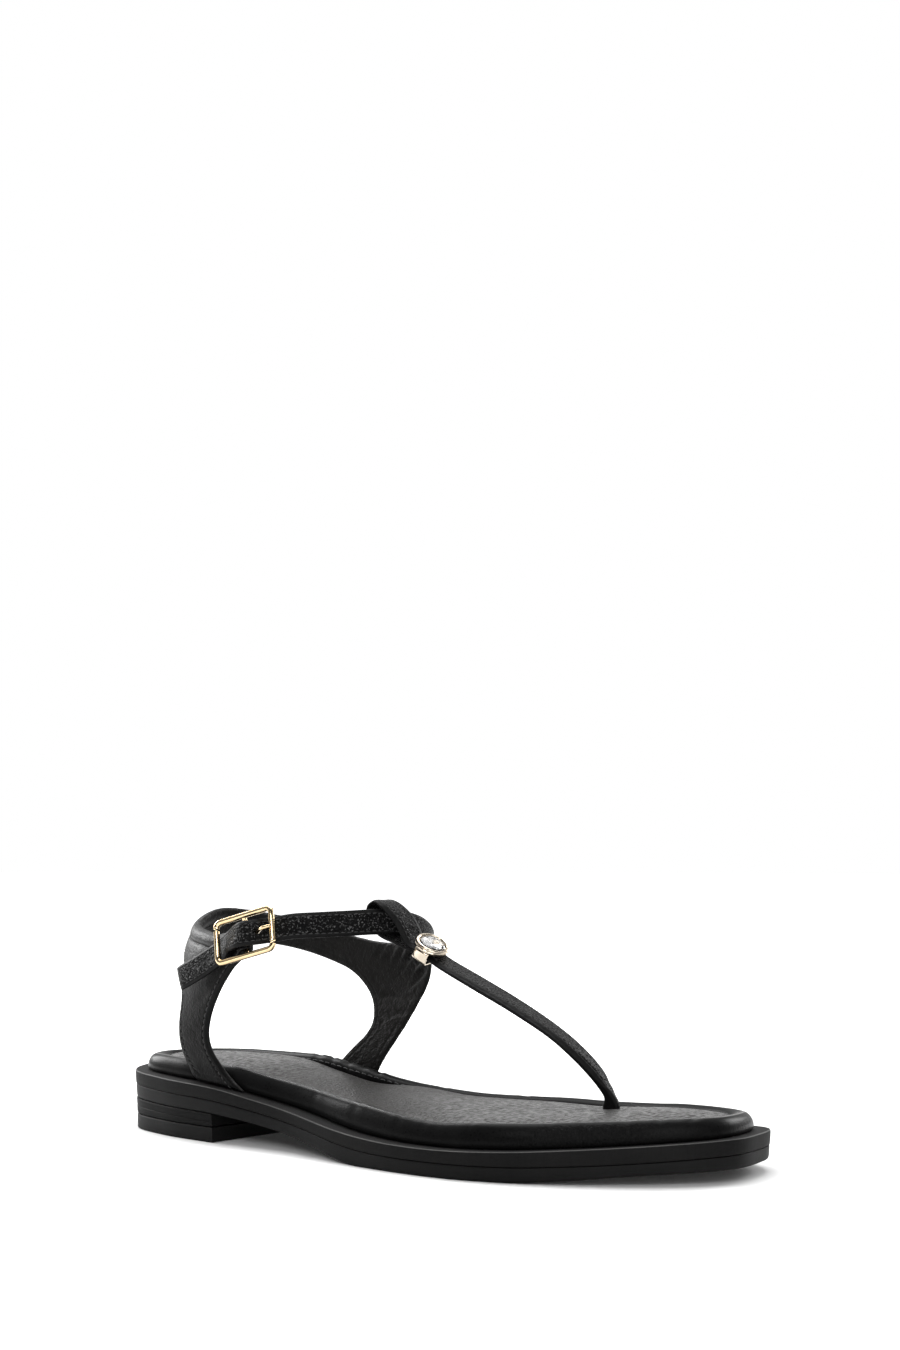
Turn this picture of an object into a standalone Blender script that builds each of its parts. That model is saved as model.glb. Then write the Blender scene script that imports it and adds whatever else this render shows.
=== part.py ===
"""Toe post sandal, right foot: low stacked sole, padded footbed, toe strap and buckled heel quarter.

Sizes are in millimetres in the frame of the last: X runs from the back of the heel to the toe,
+Y is the medial side and Z is up. A parent empty centres the sandal on the origin and lifts it to the floor.
"""
import math

import bmesh
import bpy
import numpy as np
from mathutils import Matrix, Vector
from mathutils.geometry import delaunay_2d_cdt

MM = 0.001
GAP = 0.3

# Sole
STATIONS = 34
LIFT = 0.7
BREAST_X = 63.0
BREAST_BEVEL = 0.7
TOP_PIECE = 4.6

# Outline of the sole from the back of the heel along the lateral side to the toe and back: x, y
OUTLINE = (
    (0.0, 0.0), (11.4, -21.2), (34.5, -30.8), (62.2, -34.9), (97.5, -36.8), (128.5, -44.3),
    (158.8, -48.6), (185.0, -47.2), (212.1, -37.0), (235.4, -22.0), (250.2, -4.1), (250.2, 10.7),
    (244.6, 29.6), (228.8, 39.9), (203.3, 43.5), (178.0, 43.8), (141.9, 36.4), (105.0, 29.8),
    (65.0, 30.2), (34.9, 30.0), (11.9, 21.6),
)

# Side profile of the sole: x, underside of the outsole, seam of outsole and welt, top of the welt
PROFILE = (
    (0.0, 10.9, 15.7, 20.8),
    (35.0, 10.0, 14.9, 19.7),
    (64.6, 9.2, 13.8, 18.3),
    (85.0, 7.3, 11.5, 15.5),
    (110.0, 3.7, 8.0, 12.0),
    (138.0, -0.7, 4.5, 8.9),
    (165.0, -0.7, 3.9, 8.0),
    (194.0, -0.65, 4.1, 8.8),
    (212.0, 0.7, 5.0, 10.0),
    (230.0, 2.5, 6.3, 11.4),
    (250.5, 3.7, 8.1, 13.0),
)
FLOOR, UNDERSIDE, SEAM, WELT_TOP = range(4)

# Sections of the sole's pieces from the lowest up: inset, line that the height is taken from, offset
SOLE_SECTIONS = {
    "outsole": (
        (0.9, UNDERSIDE, 0.0), (0.5, UNDERSIDE, 0.4), (0.4, UNDERSIDE, 1.3),
        (0.3, SEAM, -1.2), (0.5, SEAM, -GAP / 2),
    ),
    "welt": (
        (0.5, SEAM, GAP / 2), (0.15, SEAM, 0.5), (0.0, WELT_TOP, -0.9),
        (0.35, WELT_TOP, -0.2), (1.0, WELT_TOP, 0.0),
    ),
    "heel_block": (
        (0.7, FLOOR, TOP_PIECE + GAP), (0.5, FLOOR, TOP_PIECE + 0.8), (0.4, UNDERSIDE, -3.1),
        (0.8, UNDERSIDE, -2.8), (0.4, UNDERSIDE, -2.5), (0.3, UNDERSIDE, -0.9), (0.6, UNDERSIDE, -GAP),
    ),
    "heel_top_piece": (
        (0.8, FLOOR, -LIFT), (0.5, FLOOR, 0.5 - LIFT), (0.5, FLOOR, TOP_PIECE - 0.5), (0.8, FLOOR, TOP_PIECE),
    ),
}

# Section of the footbed from its foot over the padded rim to the middle: inset, height over the welt
FOOTBED_SECTION = (
    (7.0, 0.3), (6.3, 1.5), (6.3, 3.2), (6.8, 4.8), (7.9, 6.1), (9.6, 6.8), (11.2, 6.9), (12.3, 6.5),
    (12.9, 5.9), (13.8, 6.5), (17.0, 6.6), (21.0, 6.2), (25.0, 5.7),
)

# Form of the footbed along the foot: x, share of the section's height, reach outward, tilt to the medial side
RIM_SHARE = (
    (0.0, 0.54, 1.9, 0.0024), (20.0, 0.66, 0.9, 0.003), (45.0, 0.85, -0.4, 0.0045),
    (70.0, 1.08, -0.4, 0.0032), (85.0, 0.98, -0.4, 0.0044), (105.0, 0.87, -0.4, 0.0052),
    (130.0, 0.91, 0.4, 0.0038), (150.0, 1.03, 0.7, 0.0036), (165.0, 1.09, 0.7, 0.003),
    (185.0, 1.06, 0.7, 0.0006), (205.0, 1.07, 0.7, 0.0002), (224.0, 0.93, 1.1, 0.0002),
    (236.0, 0.83, 1.3, 0.0016), (250.0, 0.82, 1.7, 0.0024),
)

# Toe post slot in the footbed: x, y, length, width, lowest and highest height of its cutter
POST_SLOT = (196.6, 12.0, 8.0, 3.0, 10.5, 30.0)

# Plan of the ankle wall at strap height and at the welt, about its centre: x, y
WALL_CENTRE = (68.0, 0.0)
ANKLE_RING = (
    (21.6, 5.0), (25.6, -7.8), (35.6, -17.4), (53.0, -25.6), (72.0, -29.2), (90.0, -24.5),
    (106.0, -12.0), (113.5, 0.0), (117.0, 13.0), (112.0, 25.0), (95.0, 30.5), (72.0, 31.0),
    (48.0, 27.0), (28.0, 18.0),
)
FOOT_RING = (
    (6.0, 0.0), (14.0, -19.0), (34.0, -26.5), (56.0, -29.3), (80.0, -30.9), (100.0, -31.5),
    (120.0, -28.0), (130.0, 0.0), (120.0, 26.0), (100.0, 25.0), (80.0, 24.9), (60.0, 25.3),
    (34.0, 25.0), (14.0, 18.0),
)
FOOT_LEVEL = 18.0
ANKLE_LEVEL = 60.0
LEAN_LEVEL = 60.5
LEAN_RATE = 0.035
LEAN_SPREAD = 0.35

# Swells of the wall over the legs: degrees, spread, size; and where they rise: height, share
SWELLS = ((-48.0, 26.0, 2.1), (137.0, 22.0, 0.9))
SWELL_RISE = (
    (18.0, 0.0), (24.0, -0.15), (30.0, 0.3), (36.0, 0.7), (44.0, 0.8), (52.0, 0.95), (58.0, 0.55),
    (64.0, 0.0),
)

# Edges of the heel quarter on the ankle wall: degrees from the back towards the medial side, height
UPPER_WALL = 2.0
LATERAL_FOOT = (-103.0, -68.0)
MEDIAL_FOOT = (87.0, 125.0)
WINDOW_EDGE = (
    (-59.0, 22.2), (-49.0, 29.0), (-42.0, 39.0), (-37.0, 48.5), (-28.0, 56.5), (-13.0, 62.8),
    (6.0, 65.8), (26.0, 66.2), (48.0, 64.3), (77.0, 59.8), (97.0, 55.4), (112.0, 47.7),
    (117.2, 39.5), (114.2, 33.8), (104.5, 28.5), (92.0, 22.5),
)
MEDIAL_FRONT_EDGE = ((132.5, 28.0), (138.5, 38.5), (145.5, 52.0), (149.0, 59.5))
TOP_EDGE = (
    (149.0, 68.6), (139.0, 67.0), (127.0, 66.7), (112.0, 67.2), (90.0, 69.6), (60.0, 73.6),
    (32.0, 76.8), (16.0, 78.3), (4.0, 78.4), (-8.0, 76.4), (-20.0, 73.8), (-36.0, 72.2), (-52.0, 71.4),
    (-70.0, 70.6), (-88.0, 72.0), (-103.0, 74.2),
)
LATERAL_FRONT_EDGE = (
    (-105.0, 64.6), (-98.0, 61.8), (-90.5, 58.6), (-80.8, 52.2), (-71.4, 43.6), (-69.2, 36.0),
    (-73.2, 29.8), (-86.0, 23.4),
)
MM_PER_DEGREE = 0.72
PATTERN_STEP = 4.0

# Course of the ankle strap: degrees, height, offset from the wall, width, lean of its upper edge
STRAP_THICK = 1.5
STRAP_TRIM = 0.3
ANKLE_STRAP = (
    (134.0, 63.0, 0.0, 6.0, 0.0),
    (143.0, 64.3, 0.0, 8.4, 0.0),
    (151.0, 66.0, 0.0, 9.6, 0.0),
    (159.0, 69.6, 0.0, 9.4, 0.0),
    (167.0, 72.9, 0.0, 8.9, 0.0),
    (176.0, 75.0, 0.0, 8.6, 0.0),
    (186.0, 75.4, 0.0, 8.6, 0.0),
    (198.0, 75.0, 0.2, 8.6, 2.0),
    (211.0, 74.5, 0.8, 8.6, 6.0),
    (224.0, 73.8, 2.0, 8.6, 11.0),
    (236.5, 72.1, 3.2, 8.6, 14.0),
    (243.5, 70.8, 5.9, 8.6, 14.0),
    (251.0, 69.7, 7.3, 8.6, 14.0),
    (259.0, 68.6, 5.9, 8.6, 14.0),
    (269.0, 67.0, 3.2, 8.6, 14.0),
    (281.0, 63.0, 2.8, 8.6, 12.0),
    (296.0, 58.8, 4.0, 8.6, 8.0),
    (312.0, 54.6, 5.6, 8.6, 4.0),
)

# Course of the toe strap from the footbed, through the slide and round the ankle strap, back to the slide:
# x, y, z, width, thickness, turn to the side, roll to the lateral side
TOE_STRAP = (
    (196.2, 12.0, 11.2, 2.2, 5.2, 0.0, 0.0),
    (196.2, 12.0, 16.0, 2.2, 4.7, 0.0, 0.0),
    (195.2, 11.6, 20.4, 2.3, 2.0, 0.0, 0.0),
    (193.9, 11.4, 23.6, 3.6, 2.1, 0.0, 0.0),
    (190.8, 10.9, 27.9, 5.6, 2.1, 0.0, 2.0),
    (184.85, 9.9, 33.95, 7.0, 2.1, 0.0, 5.0),
    (176.28, 8.6, 40.6, 8.2, 2.1, 0.0, 5.0),
    (162.4, 7.1, 48.44, 8.8, 2.1, 3.0, 7.0),
    (147.12, 6.1, 55.61, 8.8, 2.1, 6.0, 7.5),
    (133.85, 5.3, 61.75, 8.8, 1.7, 11.0, 5.0),
    (127.6, 4.7, 65.5, 8.8, 1.0, 14.0, 1.0),
    (125.0, 4.3, 67.0, 8.8, 1.1, 14.0, 0.0),
    (122.9, 3.8, 68.5, 9.0, 1.4, 14.0, 0.0),
    (121.2, 3.3, 71.0, 9.0, 1.5, 14.0, 0.0),
    (119.9, 2.7, 74.0, 9.0, 1.5, 14.0, 0.0),
    (118.1, 2.0, 77.0, 9.0, 1.5, 14.0, 0.0),
    (115.5, 1.2, 79.7, 9.0, 1.5, 14.0, 0.0),
    (113.1, 0.6, 81.4, 9.0, 1.5, 14.0, 0.0),
    (110.8, 0.2, 82.0, 9.0, 1.5, 14.0, 0.0),
    (108.9, 0.0, 80.9, 9.0, 1.5, 14.0, 0.0),
    (108.3, 0.0, 79.0, 9.0, 1.5, 14.0, 0.0),
    (109.2, 0.1, 75.8, 9.0, 1.5, 14.0, 0.0),
    (111.0, 0.4, 72.8, 9.0, 1.5, 14.0, 0.0),
    (113.6, 1.0, 70.6, 9.0, 1.5, 14.0, 0.0),
    (117.2, 2.0, 69.0, 9.0, 1.5, 14.0, 0.0),
    (121.0, 3.2, 67.2, 8.8, 1.2, 14.0, 0.0),
    (124.4, 4.4, 65.8, 8.8, 1.0, 14.0, 0.0),
    (127.0, 4.8, 64.35, 8.8, 1.0, 14.0, 0.0),
    (129.5, 5.0, 62.95, 8.8, 1.0, 14.0, 0.0),
)
ORNAMENT_ROW = 10

# Buckle, in its own frame: along the strap, across it and out from the wall
BUCKLE_ANGLE = 251.4
FRAME_LONG = 26.0
FRAME_TALL = 16.4
FRAME_WIRE = 2.1
FRAME_CORNER = 2.6
FRAME_OUT = 4.9
BAR_WIRE = 1.6
BAR_OUT = 4.0
BAR_BEND = 2.4
CHAPE_WIDTH = 10.0
CHAPE_THICK = 1.0
CHAPE = (
    (-3.6, 2.3), (-2.0, 2.35), (0.2, 2.4), (1.5, 3.2), (1.5, 4.8), (0.2, 5.6), (-2.0, 5.0), (-4.2, 3.6),
)
PRONG_WIRE = 1.3
PRONG = (
    (0.7, 5.4), (-0.8, 5.4), (-1.65, 4.0), (-0.8, 2.55), (1.0, 2.45), (3.4, 3.4), (6.2, 5.2),
    (8.6, 6.7), (12.6, 6.95),
)
STRAP_HOLE = (6.4, 5.4, 2.1)
CHAPE_SLOT = (-0.1, 5.4, 2.1)
SLOT_REACH = (-1.0, 12.0)

# Ornament, in its own frame: along the toe strap, across it and out of its face
SLIDE_LONG = 5.8
SLIDE_WIDE = 11.0
SLIDE_WALL = 0.6
SLIDE_LOW = -2.7
SLIDE_HIGH = 1.8
BEZEL_PROFILE = (
    (0.0, 2.6), (4.75, 2.6), (4.75, 3.3), (5.3, 3.8), (5.8, 3.5), (5.9, 1.9), (5.3, 1.5), (0.0, 1.5),
)
STONE_PROFILE = ((0.0, 4.5), (2.7, 4.5), (4.4, 3.6), (4.4, 3.2), (3.4, 2.9), (0.0, 2.9))
BEZEL_STEPS = 24
STONE_STEPS = 12

FINISHES = {
    "sole_rubber": ((0.012, 0.012, 0.013, 1.0), 0.55, 0.0),
    "welt_rubber": ((0.016, 0.016, 0.017, 1.0), 0.6, 0.0),
    "footbed_leather": ((0.035, 0.033, 0.032, 1.0), 0.5, 0.0),
    "upper_leather": ((0.010, 0.010, 0.011, 1.0), 0.3, 0.0),
    "gold_metal": ((0.83, 0.66, 0.38, 1.0), 0.2, 1.0),
    "crystal": ((0.86, 0.88, 0.9, 1.0), 0.05, 0.0),
}


def start_scene():
    """Empty the scene and add the collections and the empty that places the sandal."""
    for item in list(bpy.data.objects):
        bpy.data.objects.remove(item, do_unlink=True)
    for name in ("toe_post_sandal", "cutters"):
        bpy.context.scene.collection.children.link(bpy.data.collections.new(name))
    edge = sole_edge()[0]
    middle = (edge.min(axis=0) + edge.max(axis=0)) / 2
    place = bpy.data.objects.new("place", None)
    place.location = (-middle[0] * MM, -middle[1] * MM, LIFT * MM)
    bpy.data.collections["toe_post_sandal"].objects.link(place)
    for name, (colour, roughness, metallic) in FINISHES.items():
        material = bpy.data.materials.new(name)
        material.use_nodes = True
        shader = material.node_tree.nodes["Principled BSDF"]
        shader.inputs["Base Color"].default_value = colour
        shader.inputs["Roughness"].default_value = roughness
        shader.inputs["Metallic"].default_value = metallic


def add_object(name, data, finish, frame=None):
    """Add a mesh or a curve to the sandal, in a local frame under the placing empty."""
    item = bpy.data.objects.new(name, data)
    data.materials.append(bpy.data.materials[finish])
    if isinstance(data, bpy.types.Mesh):
        data.shade_smooth()
        data.set_sharp_from_angle(angle=math.radians(35))
    bpy.data.collections["toe_post_sandal"].objects.link(item)
    item.parent = bpy.data.objects["place"]
    if frame is not None:
        item.matrix_local = frame
    return item


def combine(item, tool, operation):
    """Join a tool to an object, or cut it away, and move the tool to the cutters."""
    modifier = item.modifiers.new(operation.lower(), "BOOLEAN")
    modifier.operation = operation
    modifier.object = tool
    bpy.data.collections["toe_post_sandal"].objects.unlink(tool)
    bpy.data.collections["cutters"].objects.link(tool)
    tool.hide_render = True
    tool.display_type = "WIRE"


def add_solidify(item, thickness):
    """Give an open surface its thickness, half to each side."""
    modifier = item.modifiers.new("thickness", "SOLIDIFY")
    modifier.thickness = thickness * MM
    modifier.offset = 0.0
    modifier.use_even_offset = True


def smooth_value(rows, column, x):
    """Read a column of a table at x along a monotone cubic curve."""
    table = np.array(rows)
    knots, values = table[:, 0], table[:, column]
    step = np.diff(knots)
    slope = np.diff(values) / step
    tangent = np.concatenate(([slope[0]], (slope[:-1] + slope[1:]) / 2, [slope[-1]]))
    limit = 3 * np.minimum(np.abs(slope[:-1]), np.abs(slope[1:]))
    tangent[1:-1] = np.where(slope[:-1] * slope[1:] > 0, np.clip(tangent[1:-1], -limit, limit), 0.0)
    x = np.clip(x, knots[0], knots[-1])
    place = np.clip(np.searchsorted(knots, x, side="right") - 1, 0, len(step) - 1)
    t = (x - knots[place]) / step[place]
    start = (1 + 2 * t) * values[place] + t * step[place] * tangent[place]
    end = (3 - 2 * t) * values[place + 1] + (t - 1) * step[place] * tangent[place + 1]
    return start * (1 - t) ** 2 + end * t * t


def spline(rows, per_span, closed=False):
    """Sample a Catmull-Rom curve through the rows of a table."""
    points = np.array(rows, dtype=float)
    if closed:
        points = np.vstack((points[-1:], points, points[:2]))
    else:
        points = np.vstack((2 * points[0] - points[1], points, 2 * points[-1] - points[-2]))
    t = np.linspace(0, 1, per_span, endpoint=False)[:, None]
    spans = []
    for a, b, c, d in zip(points, points[1:], points[2:], points[3:]):
        bend = (2 * a - 5 * b + 4 * c - d) * t * t + (3 * b - a - 3 * c + d) * t ** 3
        spans.append(b + ((c - a) * t + bend) / 2)
    curve = np.vstack(spans)
    return curve if closed else np.vstack((curve, points[-2:-1]))


def unit(vectors):
    """Return vectors of length one."""
    return vectors / np.linalg.norm(vectors, axis=-1, keepdims=True)


def local_frame(origin, along, out):
    """Return a matrix with X along, Z out and its origin at a point given in millimetres."""
    z = unit(out - along * np.dot(out, along))
    y = np.cross(z, along)
    matrix = Matrix((along, y, z)).transposed().to_4x4()
    matrix.translation = Vector(origin) * MM
    return matrix


def sole_edge():
    """Return the sole's outline and its inward normals."""
    edge = spline(OUTLINE, 24, closed=True)
    along = unit(np.roll(edge, -1, axis=0) - np.roll(edge, 1, axis=0))
    return edge, np.column_stack((-along[:, 1], along[:, 0]))


def ring(inset, height, last_x=None, reach=None):
    """Return a closed ring of the outline moved in by inset, with its height a function of x.

    The points lie at matching stations of the two sides, and a ring with last_x ends there. A reach moves
    the ring out again by a function of x.
    """
    edge, inward = sole_edge()
    inset = np.full(len(edge), inset) - (reach(edge[:, 0]) if reach else 0.0)
    curve = edge + inward * inset[:, None]
    curve = np.roll(curve, -int(np.argmin(curve[:, 0])), axis=0)
    toe = int(np.argmax(curve[:, 0]))
    sides = (curve[:toe + 1], np.vstack((curve[toe:], curve[:1]))[::-1])
    heel_x, toe_x = curve[0, 0], curve[toe, 0]
    if last_x is None:
        x = heel_x + (toe_x - heel_x) * (1 - np.cos(np.linspace(0, math.pi, STATIONS + 1))) / 2
    else:
        x = heel_x + (last_x - heel_x) * (1 - np.cos(np.linspace(0, math.pi / 2, STATIONS // 2 + 1)))
    lateral, medial = (np.column_stack((x, np.interp(x, side[:, 0], side[:, 1]))) for side in sides)
    back = medial[-2:0:-1] if last_x is None else medial[:0:-1]
    plan = np.vstack((lateral, back))
    return np.column_stack((plan, height(plan[:, 0])))


def loft(name, rings, finish):
    """Join stacked rings into a closed solid, with rows of faces across the lowest and the highest."""
    form = bmesh.new()
    levels = [[form.verts.new(Vector(point) * MM) for point in points] for points in rings]
    count = len(levels[0])
    for lower, upper in zip(levels, levels[1:]):
        for i in range(count):
            form.faces.new((lower[i], lower[i - 1], upper[i - 1], upper[i]))
    for level in (levels[0], levels[-1]):
        for i in range(count // 2):
            corners = (level[i], level[i + 1], level[-i - 1], level[-i])
            form.faces.new(tuple(dict.fromkeys(corners)))
    bmesh.ops.recalc_face_normals(form, faces=form.faces)
    mesh = bpy.data.meshes.new(name)
    form.to_mesh(mesh)
    form.free()
    return add_object(name, mesh, finish)


def sole_height(line, offset):
    """Return a height of the sole as a function of x, from the floor or from a line of the side profile."""
    if line == FLOOR:
        return lambda x: np.full_like(x, offset)
    return lambda x: smooth_value(PROFILE, line, x) + offset


def make_sole():
    """Build the outsole, the welt, the heel block with its ribbed side and the heel top piece."""
    for name, sections in SOLE_SECTIONS.items():
        rings = []
        for row, (inset, line, offset) in enumerate(sections):
            last_x = None
            if name.startswith("heel"):
                last_x = BREAST_X - (BREAST_BEVEL if row in (0, len(sections) - 1) else 0.0)
            rings.append(ring(inset, sole_height(line, offset), last_x))
        loft(name, rings, "welt_rubber" if name == "welt" else "sole_rubber")


def make_box(name, low, high, finish, frame=None):
    """Add a box between two corners."""
    form = bmesh.new()
    bmesh.ops.create_cube(form, size=1.0)
    size = Vector(high) - Vector(low)
    bmesh.ops.scale(form, vec=size * MM, verts=form.verts)
    bmesh.ops.translate(form, vec=(Vector(low) + Vector(high)) * 0.5 * MM, verts=form.verts)
    mesh = bpy.data.meshes.new(name)
    form.to_mesh(mesh)
    form.free()
    return add_object(name, mesh, finish, frame)


def make_footbed():
    """Build the padded footbed with its raised rim, its seam and the slot for the toe post."""
    rings = []
    for inset, rise in FOOTBED_SECTION:
        def height(x, rise=rise):
            return smooth_value(PROFILE, WELT_TOP, x) + GAP + (rise - GAP) * smooth_value(RIM_SHARE, 1, x)
        points = ring(inset, height, reach=lambda x: smooth_value(RIM_SHARE, 2, x))
        points[:, 2] += smooth_value(RIM_SHARE, 3, points[:, 0]) * (rise - GAP) * points[:, 1]
        rings.append(points)
    footbed = loft("footbed", rings, "footbed_leather")
    x, y, length, width, low, high = POST_SLOT
    corner = Vector((length / 2, width / 2, 0.0))
    lowest, highest = Vector((x, y, low)) - corner, Vector((x, y, high)) + corner
    slot = make_box("post_slot", lowest, highest, "footbed_leather")
    combine(footbed, slot, "DIFFERENCE")


def ring_radius(rows, degrees):
    """Return a plan ring's radius about the wall's centre, at angles from the back."""
    curve = spline(rows, 24, closed=True) - np.array(WALL_CENTRE)
    angle = np.degrees(np.arctan2(curve[:, 1], -curve[:, 0])) % 360
    return np.interp(degrees, angle, np.hypot(curve[:, 0], curve[:, 1]), period=360)


def wall_point(degrees, height, offset=0.0):
    """Return points of the ankle wall, moved out along the radius by an offset."""
    rise = np.clip((height - FOOT_LEVEL) / (ANKLE_LEVEL - FOOT_LEVEL), 0, 1)
    share = (rise + rise * rise * (3 - 2 * rise)) / 2
    radius = ring_radius(FOOT_RING, degrees) * (1 - share) + ring_radius(ANKLE_RING, degrees) * share
    for middle, spread, size in SWELLS:
        turn = (degrees - middle + 180) % 360 - 180
        radius = radius + size * np.exp(-(turn / spread) ** 2 / 2) * smooth_value(SWELL_RISE, 1, height)
    back = np.clip(np.cos(np.radians(degrees)) + LEAN_SPREAD, 0, None) / (1 + LEAN_SPREAD)
    radius = radius - back * LEAN_RATE * np.clip(height - LEAN_LEVEL, 0, None) ** 2 + offset
    x = WALL_CENTRE[0] - radius * np.cos(np.radians(degrees))
    y = WALL_CENTRE[1] + radius * np.sin(np.radians(degrees))
    return np.column_stack((x, y, height))


def foot_edge(span):
    """Return the lower edge of a leg, just over the welt."""
    degrees = np.linspace(span[0], span[1], 6)
    x = wall_point(degrees, np.full_like(degrees, FOOT_LEVEL))[:, 0]
    return np.column_stack((degrees, smooth_value(PROFILE, WELT_TOP, x) + GAP))


def quarter_outline():
    """Return the quarter's outline on the wall, as degrees and heights."""
    lateral, medial = foot_edge(LATERAL_FOOT), foot_edge(MEDIAL_FOOT)
    edges = (
        lateral[1:-1],
        spline(np.vstack((lateral[-1:], WINDOW_EDGE, medial[:1])), 3),
        medial[1:-1],
        spline(np.vstack((medial[-1:], MEDIAL_FRONT_EDGE)), 4),
        spline(TOP_EDGE, 3),
        spline(np.vstack((LATERAL_FRONT_EDGE, lateral[:1])), 3),
    )
    return np.vstack(edges)


def make_quarter():
    """Build the heel quarter: a flat pattern filled with triangles and wrapped on the ankle wall."""
    outline = quarter_outline() * np.array((MM_PER_DEGREE, 1.0))
    low, high = outline.min(axis=0), outline.max(axis=0)
    columns = np.arange(low[0], high[0], PATTERN_STEP)
    rows = np.arange(low[1], high[1], PATTERN_STEP)
    grid = np.array([(x, y) for x in columns for y in rows])
    clear = [np.linalg.norm(outline - point, axis=1).min() > PATTERN_STEP * 0.55 for point in grid]
    points = [Vector(point) for point in np.vstack((outline, grid[clear]))]
    flat, _, faces, *_ = delaunay_2d_cdt(points, [], [list(range(len(outline)))], 1, 1e-5)
    flat = np.array([point[:] for point in flat])
    shape = wall_point(flat[:, 0] / MM_PER_DEGREE, flat[:, 1]) * MM
    mesh = bpy.data.meshes.new("upper")
    mesh.from_pydata(shape.tolist(), [], faces)
    quarter = add_object("upper", mesh, "upper_leather")
    add_solidify(quarter, UPPER_WALL)
    return quarter


def strap(name, centre, across, out, width, thick, finish, frame=None):
    """Build a strap: sections with trimmed corners, joined along its course and closed at both ends."""
    form = bmesh.new()
    rows = []
    for point, sideways, normal, wide, deep in zip(centre, across, out, width, thick):
        section = []
        for x, z in ((1, -1), (1, 1), (-1, 1), (-1, -1)):
            corner = point + sideways * x * wide / 2 + normal * z * deep / 2
            trims = (-sideways * x * STRAP_TRIM, -normal * z * STRAP_TRIM)
            section += [corner + trim for trim in (trims if x * z < 0 else trims[::-1])]
        rows.append([form.verts.new(Vector(place) * MM) for place in section])
    for first, second in zip(rows, rows[1:]):
        for k in range(len(first)):
            form.faces.new((first[k], first[k - 1], second[k - 1], second[k]))
    form.faces.new(rows[0])
    form.faces.new(rows[-1])
    bmesh.ops.recalc_face_normals(form, faces=form.faces)
    mesh = bpy.data.meshes.new(name)
    form.to_mesh(mesh)
    form.free()
    return add_object(name, mesh, finish, frame)


def ankle_course(rows, lifted=True):
    """Return points, directions and normals along the ankle strap, lifted off the wall or on it."""
    centre = wall_point(rows[:, 0], rows[:, 1])
    for offset in (rows[:, 2:3] if lifted else np.zeros((len(rows), 1)), 0.0):
        along = unit(np.gradient(centre, axis=0))
        upward = unit(np.array((0.0, 0.0, 1.0)) - along * along[:, 2:3])
        lean = np.radians(rows[:, 4:5])
        out = np.cos(lean) * np.cross(upward, along) + np.sin(lean) * upward
        centre = centre + out * offset
    return centre, along, out


def buckle_frame():
    """Return the buckle's local frame, with X along the strap towards the toe."""
    rows = spline(ANKLE_STRAP, 8)
    centre, along, out = ankle_course(rows, lifted=False)
    middle = int(np.argmin(np.abs(rows[:, 0] - BUCKLE_ANGLE)))
    return local_frame(centre[middle], -along[middle], out[middle])


def slot_box(name, place, frame):
    """Return a cutter: a long slot through a strap, at a place along the buckle."""
    middle, length, width = place
    low = (middle - length / 2, -width / 2, SLOT_REACH[0])
    high = (middle + length / 2, width / 2, SLOT_REACH[1])
    return make_box(name, low, high, "upper_leather", frame)


def toe_course():
    """Return the toe strap's sections: centre, along, out, width and thickness."""
    rows = spline(TOE_STRAP, 3)
    centre = rows[:, :3]
    along = unit(np.gradient(centre, axis=0))
    turn, roll = np.radians(rows[:, 5:7]).T
    sideways = np.column_stack((np.sin(turn) * np.cos(roll), np.cos(turn) * np.cos(roll), np.sin(roll)))
    return centre, along, unit(np.cross(sideways, along)), rows[:, 3], rows[:, 4]


def make_upper(frame):
    """Build the upper: the heel quarter, the ankle strap grown from its wing and the toe strap on that."""
    quarter = make_quarter()
    rows = spline(ANKLE_STRAP, 3)
    centre, along, out = ankle_course(rows)
    thick = np.full(len(rows), STRAP_THICK)
    band = strap("ankle_strap", centre, np.cross(along, out), out, rows[:, 3], thick, "upper_leather")
    combine(band, slot_box("strap_hole", STRAP_HOLE, frame), "DIFFERENCE")
    centre, along, out, width, thick = toe_course()
    toe_strap = strap("toe_strap", centre, np.cross(along, out), out, width, thick, "upper_leather")
    combine(quarter, band, "UNION")
    combine(quarter, toe_strap, "UNION")


def wire(name, points, diameter, finish, frame, closed=False):
    """Build a round wire along points as a mesh object."""
    curve = bpy.data.curves.new(name, "CURVE")
    curve.dimensions = "3D"
    curve.bevel_depth = diameter / 2 * MM
    curve.bevel_resolution = 2
    curve.use_fill_caps = True
    course = curve.splines.new("POLY")
    course.points.add(len(points) - 1)
    for place, point in zip(course.points, points):
        place.co = (*(np.array(point) * MM), 1.0)
    course.use_cyclic_u = closed
    guide = add_object(name, curve, finish, frame)
    bpy.context.view_layer.update()
    mesh = bpy.data.meshes.new_from_object(guide.evaluated_get(bpy.context.evaluated_depsgraph_get()))
    bpy.data.objects.remove(guide)
    form = bmesh.new()
    form.from_mesh(mesh)
    bmesh.ops.remove_doubles(form, verts=form.verts, dist=1e-6)
    form.to_mesh(mesh)
    form.free()
    mesh.materials.clear()
    return add_object(name, mesh, finish, frame)


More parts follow.
